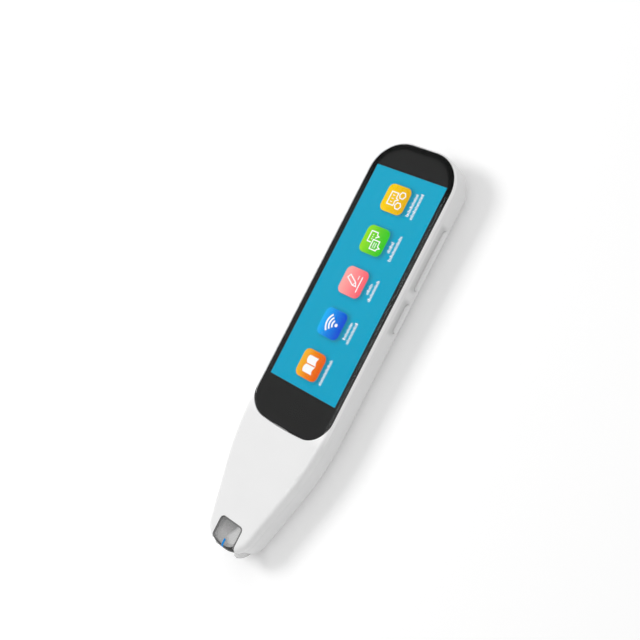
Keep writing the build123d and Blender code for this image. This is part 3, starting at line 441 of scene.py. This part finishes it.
def black_print(name):
    """The black printed frame, bonded under the glass, so that it has no gloss of its own.

    A faint glow stands for the light that reaches it through the glass. A band along the glass's
    upper edge gets less of it.
    """
    finish = Finish(name)
    finish.fixed(Specular_IOR_Level=0.0, Emission_Strength=PRINT_GLOW)
    axes = finish.axes()
    arc_y = glass_high.y - GLASS_TOP_RADIUS
    beside = finish.past(finish.calc("ABSOLUTE", axes["X"]), glass_high.x - GLASS_TOP_RADIUS)
    reach = finish.length(beside, finish.past(axes["Y"], arc_y))
    band = GLASS_TOP_RADIUS - PRINT_EDGE_BAND
    inner = finish.spread(reach, 1.0, 0.0, band - PRINT_EDGE_SOFT, band)
    lower = finish.spread(axes["Y"], 1.0, 0.0, arc_y - GLASS_TOP_RADIUS, arc_y)
    lit = finish.calc("MAXIMUM", inner, lower)
    finish.feed(finish.mix(lit, PRINT_EDGE, grey(1.0)), finish.shader.inputs["Emission Color"])
    ink = finish.noise(0.4 * MM, 3.0)
    finish.colour(finish.ramp(ink, (0.35, grey(0.02)), (0.65, grey(0.026))))
    finish.rough(finish.spread(ink, 0.8, 0.95))
    finish.relief(ink, 2 * UM)
    return finish


POCKET_LIGHT = grey(0.93)
POCKET_LOW_X = 2.35 * MM
POCKET_LOW_Y = -71.7 * MM
POCKET_LOW_RADIUS = 2.15 * MM
POCKET_HIGH_X = 3.3 * MM
POCKET_HIGH_Y = -68.2 * MM
POCKET_HIGH_RADIUS = 1.15 * MM
POCKET_SOFT = 0.15 * MM
SHADE = grey(0.035)
SHADE_DEPTH = 75.4 * MM
SHADE_SOFT = 0.12 * MM
SHADE_LOW_Z = 11.3 * MM
SHADE_BOW = 0.042 / MM
SHADE_CORNER_X = 1.0 * MM
SHADE_CORNER_BOW = 0.065 / MM


def window_lit_pocket(finish, x, y):
    """One inside the pocket's painted light patch, whose round ends differ in size, and zero
    outside it.
    """
    rise = finish.spread(y, 0.0, 1.0, POCKET_LOW_Y, POCKET_HIGH_Y)
    aside = finish.calc("SUBTRACT", x, finish.spread(rise, POCKET_LOW_X, POCKET_HIGH_X))
    beyond = finish.calc("ADD", finish.past(POCKET_LOW_Y, y), finish.past(y, POCKET_HIGH_Y))
    radius = finish.spread(rise, POCKET_LOW_RADIUS, POCKET_HIGH_RADIUS)
    margin = finish.calc("SUBTRACT", radius, finish.length(aside, beyond))
    return finish.spread(margin, 0.0, 1.0, 0.0, POCKET_SOFT, smooth=True)


def window_shade(finish, x, y, z):
    """One in the dark band along the window's lower edge, whose upper side is bowed."""
    bow = finish.calc("MULTIPLY", finish.calc("MULTIPLY", x, x), SHADE_BOW)
    past = finish.past(x, SHADE_CORNER_X)
    corner = finish.calc("MULTIPLY", finish.calc("MULTIPLY", past, past), SHADE_CORNER_BOW)
    below = finish.calc("SUBTRACT", finish.calc("ADD", bow, corner), y)
    start, end = SHADE_DEPTH - SHADE_SOFT, SHADE_DEPTH + SHADE_SOFT
    shade = finish.spread(below, 0.0, 1.0, start, end, smooth=True)
    return finish.calc("MULTIPLY", shade, finish.calc("GREATER_THAN", z, SHADE_LOW_Z))


def smoky_plastic(name):
    """Clear plastic with a grey tint, polished, with faint flow lines from the moulding.

    The window shows a painted pale patch, painted light for the lit pocket seen through it,
    and a painted shade along its lower edge.
    """
    finish = Finish(name)
    finish.fixed(Transmission_Weight=0.76, IOR=1.03, Coat_Weight=1.0, Coat_Roughness=0.05)
    flow = finish.noise(2.2 * MM, 3.0, (1, 0.35, 1))
    x, y, z = finish.axes()
    along = finish.spread(y, 0.0, 1.0, hood_low.y, hood_high.y)
    tint = finish.ramp(along, (0.0, grey(0.76)), (0.45, grey(0.72)), (0.85, grey(0.5)))
    clouds = finish.spread(flow, 0.0, 0.12, NOISE_LOW, NOISE_HIGH)
    clouded = finish.mix(clouds, tint, grey(0.8))
    # painted light: a pale patch for the lit pocket seen through the window
    pocket_lit = finish.mix(window_lit_pocket(finish, x, y), clouded, POCKET_LIGHT)
    finish.colour(finish.mix(window_shade(finish, x, y, z), pocket_lit, SHADE))
    finish.rough(finish.spread(flow, 0.03, 0.08))
    finish.relief(flow, 4 * UM)
    return finish


def glossy_inlay(name, colour):
    finish = Finish(name)
    tint = finish.noise(0.6 * MM)
    finish.colour(finish.ramp(tint, (NOISE_LOW, toned(colour, 0.88)), (NOISE_HIGH, colour)))
    finish.rough(finish.spread(tint, 0.3, 0.4))
    finish.fixed(Specular_IOR_Level=0.12)
    finish.relief(tint, 2 * UM)
    return finish


def lamp_phosphor(name):
    """White lamp bodies with a yellow phosphor in the middle of each."""
    finish = Finish(name)
    grains = finish.noise(0.08 * MM, 3.0)
    finish.colour(finish.ramp(grains, (0.35, srgb(236, 214, 120)), (0.65, srgb(244, 236, 190))))
    finish.rough(finish.spread(grains, 0.3, 0.5))
    finish.relief(grains, 6 * UM)
    return finish


# The lit picture: a plain field with five tiles, each with a sign and one or two lines of bars

PIXEL = 0.085 * MM
FIELD_LOW = srgb(2, 163, 201)
FIELD_HIGH = srgb(10, 167, 203)
TILE_SHADE = srgb(24, 132, 160)
TILE_SHADE_SHIFT = 1.0 * MM
TILE_SHADE_SOFT = 1.5 * MM
TILE_RIM = 0.14
TILE_RIM_WIDE = 0.35 * MM


def tile_y(index):
    """The middle of a tile, counted from the top of the screen."""
    return MIDDLE_Y + ((TILES - 1) / 2 - index) * TILE_PITCH


def from_tile(finish, y):
    """How far along Y a point lies from the middle of the nearest tile."""
    away = finish.calc("SUBTRACT", y, MIDDLE_Y)
    return finish.calc("WRAP", away, TILE_PITCH / 2, -TILE_PITCH / 2)


def pixel_dots(finish):
    return finish.calc("MULTIPLY", finish.bands(PIXEL, "Y"), finish.bands(PIXEL, "X"))


def lit_panel(name):
    """The panel's field of colour, with the soft shade that each tile throws and the pixel rows."""
    finish = Finish(name)
    x, y, z = finish.axes()
    across = finish.calc("ABSOLUTE", finish.calc("SUBTRACT", x, TILE_X + TILE_SHADE_SHIFT))
    along = finish.calc("ABSOLUTE", from_tile(finish, y))
    reach = finish.length(finish.past(across, TILE_WIDTH / 2 - TILE_RADIUS),
                          finish.past(along, TILE_LENGTH / 2 - TILE_RADIUS))
    shade = finish.spread(reach, 1.0, 0.0, TILE_RADIUS - TILE_SHADE_SOFT / 2,
                          TILE_RADIUS + TILE_SHADE_SOFT, smooth=True)
    pixels = pixel_dots(finish)
    rise = finish.spread(y, 0.0, 1.0, panel_low.y, panel_high.y)
    field = finish.ramp(rise, (0.0, FIELD_LOW), (1.0, FIELD_HIGH))
    shaded = finish.mix(shade, field, TILE_SHADE)
    dotted = finish.mix(finish.spread(pixels, 0.04, 0.0), shaded, grey(0.0))
    front = finish.calc("GREATER_THAN", z, panel_top - TILE_THICK)
    finish.lit(finish.mix(front, grey(0.0), dotted), pixels)
    return finish


def tile_finish(name, top, middle, bottom):
    """A lit tile, whose colour runs from its top, at low X, to its bottom, with a bright rim."""
    finish = Finish(name)
    axes = finish.axes()
    half_width, half_length = TILE_WIDTH / 2, TILE_LENGTH / 2
    down = finish.spread(axes["X"], 0.0, 1.0, TILE_X - half_width, TILE_X + half_width)
    body = finish.ramp(down, (0.0, top), (0.5, middle), (1.0, bottom))
    along = from_tile(finish, axes["Y"])
    across = finish.calc("SUBTRACT", axes["X"], TILE_X)
    end = finish.spread(along, 0.0, TILE_RIM, half_length - TILE_RIM_WIDE, half_length)
    foot = finish.spread(across, 0.0, TILE_RIM, half_width - TILE_RIM_WIDE, half_width)
    rimmed = finish.mix(finish.calc("MAXIMUM", end, foot), body, top, "SCREEN")
    finish.lit(rimmed, finish.noise(0.2 * MM))
    return finish


def sign_finish(name):
    finish = Finish(name)
    pixels = pixel_dots(finish)
    finish.lit(finish.ramp(pixels, (0.0, grey(0.96)), (1.0, grey(1.0))), pixels)
    return finish


NODE_FINISHES = {
    "glass_gasket": black_print("black_print"),
    "front_housing": window_casing("window_casing", grey(0.845)),
    "rear_shell": walled_casing("walled_casing", grey(0.845)),
}
SLOT_FINISHES = {
    "white_shell": moulded_plastic("white_casing", grey(0.84)),
    "white_key": key_plastic("white_keys"),
    "white_inner": moulded_plastic("white_inner_plastic", grey(0.8), rough=(0.45, 0.55)),
    "clear_glass": cover_glass("coated_glass"),
    "black_plastic": moulded_plastic("black_plastic", grey(0.012), rough=(0.45, 0.6), tone=0.2),
    "black_mesh": woven_mesh("black_gauze"),
    "screen": lit_panel("lit_panel"),
    "steel": brushed_metal("pressed_steel", grey(0.6), "Y"),
    "spring_steel": brushed_metal("spring_wire", grey(0.52), "X", rough=(0.3, 0.42)),
    "board": circuit_board("green_board"),
    "copper_flex": flex_circuit("amber_ribbon"),
    "battery_foil": pouch_foil("pouch_foil"),
    "foam": cell_foam("black_foam"),
    "smoky_hood": smoky_plastic("smoky_plastic"),
    "blue_mark": glossy_inlay("blue_inlay", srgb(0, 138, 224)),
    "grey_carriage": moulded_plastic("light_grey_plastic", grey(0.56), rough=(0.4, 0.5)),
    "bumper_rubber": soft_rubber("black_rubber"),
    "lamp": lamp_phosphor("lamp_phosphor"),
}


def dress_nodes():
    """Gives each node of the frame the finish of its material slot."""
    for subpart in frame["record"]["subparts"]:
        name = subpart["node"]
        finish = NODE_FINISHES.get(name, SLOT_FINISHES[subpart["material_slot"]])
        data = frame["nodes"][name].data
        data.materials.clear()
        data.materials.append(finish.material)


# Flat pieces: the print, the tiles, the signs, the bars and the painted shade line round the window

MITRE_LIMIT = 0.3
WELD = 0.5 * UM


def arc(centre, radius, start, end, steps=8):
    """Points on an arc; the angles are in degrees, anticlockwise."""
    turns = [math.radians(start + (end - start) * i / steps) for i in range(steps + 1)]
    return [(centre[0] + radius * math.cos(t), centre[1] + radius * math.sin(t)) for t in turns]


def rounded_rectangle(width, height, radius, centre=(0, 0)):
    """Corner points, anticlockwise from the lower right."""
    half_w, half_h = width / 2 - radius, height / 2 - radius
    points = []
    for i, (sx, sy) in enumerate(((1, -1), (1, 1), (-1, 1), (-1, -1))):
        middle = (centre[0] + sx * half_w, centre[1] + sy * half_h)
        points += arc(middle, radius, -90 + 90 * i, 90 * i)
    return points


def polygon(centre, radius, sides, turn=0):
    return arc(centre, radius, turn, turn + 360 * (sides - 1) / sides, sides - 1)


def offset_line(points, distance, closed):
    """A line beside a line, with mitred corners."""
    made = []
    count = len(points)
    for i, point in enumerate(points):
        here = Vector(point)
        before = Vector(points[(i - 1) % count]) if closed or i > 0 else None
        after = Vector(points[(i + 1) % count]) if closed or i < count - 1 else None
        runs = []
        if before is not None:
            runs.append((here - before).normalized())
        if after is not None:
            runs.append((after - here).normalized())
        sides = [Vector((-run.y, run.x)) for run in runs]
        side = sum(sides, Vector((0, 0))).normalized()
        made.append(here + side * (distance / max(MITRE_LIMIT, side.dot(sides[0]))))
    return made


def stroke(points, width, closed=False):
    """A band of even width along a line, as quads."""
    left = offset_line(points, width / 2, closed)
    right = offset_line(points, -width / 2, closed)
    last = len(points) if closed else len(points) - 1
    quads = []
    for i in range(last):
        j = (i + 1) % len(points)
        quads.append([right[i], right[j], left[j], left[i]])
    return quads


def flat_piece(name, faces, low, thickness, finish, centre, body="casing"):
    """A thin plate from flat faces. A face's first axis runs along +Y and its second along -X."""
    mesh = bpy.data.meshes.new(name)
    shape = bmesh.new()
    for face in faces:
        corners = [shape.verts.new((centre[0] - v, centre[1] + u, low)) for u, v in face]
        shape.faces.new(corners)
    bmesh.ops.remove_doubles(shape, verts=shape.verts, dist=WELD)
    grown = bmesh.ops.extrude_face_region(shape, geom=list(shape.faces))
    top = [g for g in grown["geom"] if isinstance(g, bmesh.types.BMVert)]
    bmesh.ops.translate(shape, verts=top, vec=(0, 0, thickness))
    bmesh.ops.recalc_face_normals(shape, faces=shape.faces)
    shape.to_mesh(mesh)
    shape.free()
    mesh.materials.append(finish.material)
    piece = bpy.data.objects.new(name, mesh)
    bpy.context.scene.collection.objects.link(piece)
    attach(piece, body)
    return piece


LINE = 0.4 * MM
FINE_LINE = 0.28 * MM


def speech_frame(centre, width, height, tail):
    """The outline of a speech bubble with square shoulders; its tail points down at tail."""
    cx, cy = centre
    left, right = cx - width / 2, cx + width / 2
    low, high = cy - height / 2, cy + height / 2
    half = 0.5 * MM
    return [(left, low), (cx + tail - half, low), (cx + tail, low - 2 * half),
            (cx + tail + half, low), (right, low), (right, high), (left, high)]


def sign_cards():
    """A speech frame over two hexagons."""
    faces = stroke(speech_frame((0, 1.35 * MM), 4.6 * MM, 2.8 * MM, 0), LINE, True)
    for side in (-1, 1):
        hexagon = polygon((side * 1.95 * MM, -2.0 * MM), 1.25 * MM, 6, 30)
        faces += stroke(hexagon, LINE, True)
    for i in (-1, 0, 1):
        dash = [(i * 1.2 * MM, 0.9 * MM), (i * 1.2 * MM, 1.8 * MM)]
        faces += stroke(dash, FINE_LINE)
    return faces


def sign_bubbles():
    """Two speech frames, one above the other, to left and right."""
    lower = speech_frame((-1.45 * MM, -0.85 * MM), 3.4 * MM, 2.9 * MM, -0.6 * MM)
    faces = stroke(lower, LINE, True)
    upper = [(-0.9 * MM, 1.1 * MM), (-0.9 * MM, 2.8 * MM), (3.0 * MM, 2.8 * MM), (3.0 * MM, 0.0),
             (2.1 * MM, -0.1 * MM), (1.7 * MM, -1.0 * MM), (1.2 * MM, 0.0), (0.8 * MM, 0.0)]
    faces += stroke(upper, LINE)
    for i in range(3):
        faces.append(polygon((0.25 * MM + i * 0.8 * MM, 1.45 * MM), 0.22 * MM, 8))
    for i in range(2):
        y = -1.25 * MM + i * 0.85 * MM
        faces += stroke([(-2.5 * MM, y), (-0.5 * MM, y)], FINE_LINE)
    return faces


def sign_pen():
    """A slanted pen over a written line."""
    tip = Vector((-1.1, -1.7)) * MM
    top = Vector((1.5, 2.7)) * MM
    run = (top - tip).normalized()
    side = Vector((-run.y, run.x)) * 0.75 * MM
    neck = tip + run * 1.3 * MM
    faces = stroke([tip, neck - side, top - side, top + side, neck + side], LINE, True)
    faces += stroke([neck - side, neck + side], FINE_LINE)
    faces += stroke([(-3.0 * MM, -2.7 * MM), (2.8 * MM, -2.7 * MM)], LINE)
    faces += stroke([(1.3 * MM, -1.3 * MM), (2.8 * MM, -1.3 * MM)], FINE_LINE)
    return faces


def sign_waves():
    """Wireless waves: a dot under three arcs."""
    foot = (0, -1.9 * MM)
    width = 0.62 * MM
    steps = 16
    faces = [polygon(foot, width, steps)]
    for i in range(3):
        faces += stroke(arc(foot, (1.7 + 1.25 * i) * MM, 45, 135, steps), width)
    return faces


def sign_book():
    """An open book: two curved pages, filled."""
    gap = 0.2 * MM
    page = 2.9 * MM
    foot = -2.3 * MM
    head = 1.8 * MM
    rise = 0.75 * MM
    start = 0.05 * math.pi
    sweep = 0.85 * math.pi
    steps = 8
    faces = []
    for side in (-1, 1):
        for i in range(steps):
            shares = (i / steps, (i + 1) / steps)
            left, right = [side * (gap + page * share) for share in shares]
            lifts = [rise * math.sin(start + sweep * share) for share in shares]
            quad = [(left, lifts[0] + foot), (right, lifts[1] + foot),
                    (right, lifts[1] + head), (left, lifts[0] + head)]
            faces.append(quad if side > 0 else quad[::-1])
    return faces


# Each tile's name, sign, colours at its top, middle and bottom, and bar lengths in millimetres
TILE_SPECS = (
    ("cards", sign_cards, (255, 211, 0), (240, 192, 2), (229, 172, 0), (8.3, 9.4)),
    ("bubbles", sign_bubbles, (153, 228, 28), (95, 207, 38), (42, 198, 30), (4.2, 9.3)),
    ("pen", sign_pen, (255, 174, 167), (254, 138, 142), (252, 94, 108), (3.8, 7.9)),
    ("waves", sign_waves, (26, 182, 250), (12, 126, 227), (0, 60, 208), (6.3, 8.1)),
    ("book", sign_book, (249, 187, 44), (238, 128, 3), (230, 84, 5), (9.2,)),
)
BAR_HEIGHT = 1.25 * MM
BAR_LOW = 0.9 * MM
BAR_LINE_X = 5.84 * MM
BAR_LINE_GAP = 1.91 * MM
SINGLE_BAR_X = 5.5 * MM
BAR_GAP = 0.26 * MM
BAR_WIDTHS = (0.22 * MM, 0.4 * MM, 0.2 * MM, 0.3 * MM, 0.24 * MM)
BAR_HIGH_EVERY = 3
BAR_CORNER_SHARE = 0.2


def bars(length, turn, across):
    """One line of small blocks, high and low ones, that stands for a word."""
    faces = []
    start = -length / 2
    while start < length / 2:
        width = min(BAR_WIDTHS[turn % len(BAR_WIDTHS)], length / 2 - start)
        height = BAR_HEIGHT if turn % BAR_HIGH_EVERY == 0 else BAR_LOW
        if width > BAR_GAP / 2:
            middle = (start + width / 2, -across - (BAR_HEIGHT - height) / 2)
            faces.append(rounded_rectangle(width, height, BAR_CORNER_SHARE * width, middle))
        start += width + BAR_GAP
        turn += 1
    return faces


# The print under the glass, and the picture on the panel

SCREEN_HALF = 15.4 * MM
SCREEN_LOW_Y = -16.35 * MM
SCREEN_HIGH_Y = 65.75 * MM
GLASS_UNDER_Z = 13.0 * MM
PRINT_THICK = 0.05 * MM
PRINT_LIFT = 0.05 * MM


def turned(face):
    """A face drawn in X and Y, with the axes that flat_piece takes."""
    return [(y, -x) for x, y in face]


def dress_glass():
    """The black print under the glass, open over the screen."""
    half = (glass_high.x - glass_low.x) / 2 - PRINT_INSET
    top_radius = GLASS_TOP_RADIUS - PRINT_INSET
    low_radius = GLASS_LOW_RADIUS - PRINT_INSET
    top_arc_y = glass_high.y - GLASS_TOP_RADIUS
    low_arc_y = glass_low.y + GLASS_LOW_RADIUS
    opening = [(SCREEN_HALF, SCREEN_LOW_Y), (SCREEN_HALF, SCREEN_HIGH_Y),
               (-SCREEN_HALF, SCREEN_HIGH_Y), (-SCREEN_HALF, SCREEN_LOW_Y)]
    upper = [opening[1]] + arc((half - top_radius, top_arc_y), top_radius, 0, 90)
    upper += arc((-half + top_radius, top_arc_y), top_radius, 90, 180) + [opening[2]]
    lower = [opening[3]] + arc((-half + low_radius, low_arc_y), low_radius, 180, 270)
    lower += arc((half - low_radius, low_arc_y), low_radius, 270, 360) + [opening[0]]
    right = [opening[0], (half, low_arc_y), (half, top_arc_y), opening[1]]
    left = [opening[2], (-half, top_arc_y), (-half, low_arc_y), opening[3]]
    faces = [turned(face) for face in (upper, lower, right, left)]
    flat_piece("glass_print", faces, GLASS_UNDER_Z - PRINT_LIFT - PRINT_THICK, PRINT_THICK,
               black_print("glass_print"), (0, 0))


def dress_screen():
    """The tiles, their signs and the bars that stand for their words."""
    white = sign_finish("lit_white")
    tile_low = panel_top + TILE_LIFT
    sign_low = tile_low + TILE_THICK + TILE_LIFT
    for i, (name, sign, top, middle, bottom, lengths) in enumerate(TILE_SPECS):
        centre = (TILE_X, tile_y(i))
        finish = tile_finish(f"lit_{name}", srgb(*top), srgb(*middle), srgb(*bottom))
        outline = rounded_rectangle(TILE_LENGTH, TILE_WIDTH, TILE_RADIUS)
        flat_piece(f"tile_{name}", [outline], tile_low, TILE_THICK, finish, centre)
        flat_piece(f"sign_{name}", sign(), sign_low, TILE_THICK, white, centre)
        first = BAR_LINE_X if len(lengths) > 1 else SINGLE_BAR_X
        faces = []
        for j, length in enumerate(lengths):
            faces += bars(length * MM, 2 * i + j, first + j * BAR_LINE_GAP)
        flat_piece(f"bars_{name}", faces, tile_low, TILE_THICK, white, (0, tile_y(i)))


# The painted shade line round the hood's window

LINE_END_Y = -74.6 * MM
LINE_THICK = 0.01 * MM
LINE_OUTER = (-5.1 * MM, 5.1 * MM, -66.55 * MM, 1.4 * MM)
LINE_INNER = (-4.95 * MM, 4.5 * MM, -67.2 * MM, 1.2 * MM)


def window_run(left, right, top, radius):
    """Points up the left side of the window, over its round top corners and down its right side."""
    points = [(left, LINE_END_Y)]
    points += arc((left + radius, top - radius), radius, 180, 90)
    points += arc((right - radius, top - radius), radius, 90, 0)
    points.append((right, LINE_END_Y))
    return points


def dress_hood():
    """A dark line round the window's plate: painted shade of the gap between the plate and the
    casing.
    """
    outer = window_run(*LINE_OUTER)
    inner = window_run(*LINE_INNER)
    band = []
    for i in range(len(outer) - 1):
        band.append(turned([outer[i], outer[i + 1], inner[i + 1], inner[i]]))
    # painted shade: a dark sheet on the plate, where there is only the shadow of the gap
    ink = moulded_plastic("window_gap_shade", grey(0.14), rough=(0.5, 0.6), tone=0.1)
    flat_piece("window_gap_shade", band, window_floor + UM, LINE_THICK, ink, (0, 0), "scan_head")


# Floor, light and camera

FLOOR_HALF = 1.5
FLOOR_CELLS = 8
FLOOR_DROP = 0.05 * MM
FLOOR_COLOUR = 0.88
FLOOR_COLOUR_SEEN = 0.98
FLOOR_GLOW = 0.1
FLOOR_FAR_GLOW = 0.45
FLOOR_NEAR = 0.12
FLOOR_FAR = 0.8
WORLD_LIGHT = 0.66
LAMP_DISTANCE = 0.8
KEY_DIRECTION = (-0.6, -0.05, 0.8)
KEY_SIZE = (0.28, 0.28)
KEY_POWER = 2.5         # watts
EDGE_DIRECTION = (0.1, 0.0, 1.0)
EDGE_SIZE = (0.44, 0.6)
EDGE_POWER = 3.6        # watts
CAMERA_RIGHT = (0.7164, 0.4564, -0.5277)
CAMERA_UP = (-0.3559, 0.8895, 0.2862)
CAMERA_BACK = (0.6001, -0.0172, 0.7997)
CAMERA_PLACE = Vector((203.299, 1.588, 292.957)) * MM
CAMERA_LENS = 57.09     # millimetres
CAMERA_SENSOR = 36.0    # millimetres
CAMERA_CLIP = 0.01


def floor_material():
    """Pale, and a little paler and brighter where it is seen than where it only throws light."""
    material = bpy.data.materials.new("pale_floor")
    material.use_nodes = True
    material.node_tree.nodes.clear()
    nodes = Nodes(material.node_tree)
    seen = nodes.seen()
    diffuse = nodes.add("ShaderNodeBsdfDiffuse")
    nodes.feed(nodes.spread(seen, FLOOR_COLOUR, FLOOR_COLOUR_SEEN), diffuse.inputs["Color"])
    away = nodes.add("ShaderNodeVectorMath", operation="LENGTH")
    nodes.feed(nodes.place, away.inputs[0])
    rise = nodes.spread(away.outputs["Value"], FLOOR_GLOW, FLOOR_FAR_GLOW, FLOOR_NEAR, FLOOR_FAR,
                        smooth=True)
    glow = nodes.add("ShaderNodeEmission")
    nodes.feed(grey(1.0), glow.inputs["Color"])
    nodes.feed(nodes.calc("MULTIPLY", seen, rise), glow.inputs["Strength"])
    both = nodes.add("ShaderNodeAddShader")
    nodes.feed(diffuse.outputs[0], both.inputs[0])
    nodes.feed(glow.outputs[0], both.inputs[1])
    output = nodes.add("ShaderNodeOutputMaterial")
    nodes.feed(both.outputs[0], output.inputs["Surface"])
    return material


def make_floor():
    mesh = bpy.data.meshes.new("floor")
    shape = bmesh.new()
    bmesh.ops.create_grid(shape, x_segments=FLOOR_CELLS, y_segments=FLOOR_CELLS, size=FLOOR_HALF)
    shape.to_mesh(mesh)
    shape.free()
    mesh.materials.append(floor_material())
    floor = bpy.data.objects.new("floor", mesh)
    floor.location.z = -FLOOR_DROP
    bpy.context.scene.collection.objects.link(floor)


def make_world():
    """White where it is seen, and a plain level of light on the object."""
    world = bpy.data.worlds.new("studio")
    world.use_nodes = True
    bpy.context.scene.world = world
    nodes = Nodes(world.node_tree)
    background = world.node_tree.nodes["Background"]
    nodes.feed(grey(1.0), background.inputs["Color"])
    nodes.feed(nodes.spread(nodes.seen(), WORLD_LIGHT, 1.0), background.inputs["Strength"])


def soft_box(name, direction, size, power):
    """An area lamp that looks at the middle of the pen."""
    light = bpy.data.lights.new(name, "AREA")
    light.shape = "RECTANGLE"
    light.size, light.size_y = size
    light.energy = power
    lamp = bpy.data.objects.new(name, light)
    towards = Vector(direction).normalized()
    lamp.location = towards * LAMP_DISTANCE
    lamp.rotation_mode = "QUATERNION"
    lamp.rotation_quaternion = towards.to_track_quat("Z", "Y")
    lamp.visible_camera = False
    lamp.visible_transmission = False
    bpy.context.scene.collection.objects.link(lamp)
    return lamp


def make_lamps():
    """A key light that makes the shadow, and one that shows only as a gloss."""
    key = soft_box("key", KEY_DIRECTION, KEY_SIZE, KEY_POWER)
    key.visible_glossy = False
    edge = soft_box("edge", EDGE_DIRECTION, EDGE_SIZE, EDGE_POWER)
    edge.visible_diffuse = False


def make_camera():
    """The camera of the photograph, as the screen's corners give it."""
    turn = Matrix((CAMERA_RIGHT, CAMERA_UP, CAMERA_BACK)).transposed()
    data = bpy.data.cameras.new("camera")
    data.sensor_width = CAMERA_SENSOR
    data.lens = CAMERA_LENS
    data.clip_start = CAMERA_CLIP
    camera = bpy.data.objects.new("camera", data)
    camera.rotation_mode = "QUATERNION"
    camera.rotation_quaternion = turn.to_quaternion()
    camera.location = CAMERA_PLACE
    bpy.context.scene.collection.objects.link(camera)
    bpy.context.scene.camera = camera


dress_nodes()
dress_glass()
dress_screen()
dress_hood()
make_floor()
make_world()
make_lamps()
make_camera()
bpy.context.scene.view_settings.view_transform = "Standard"
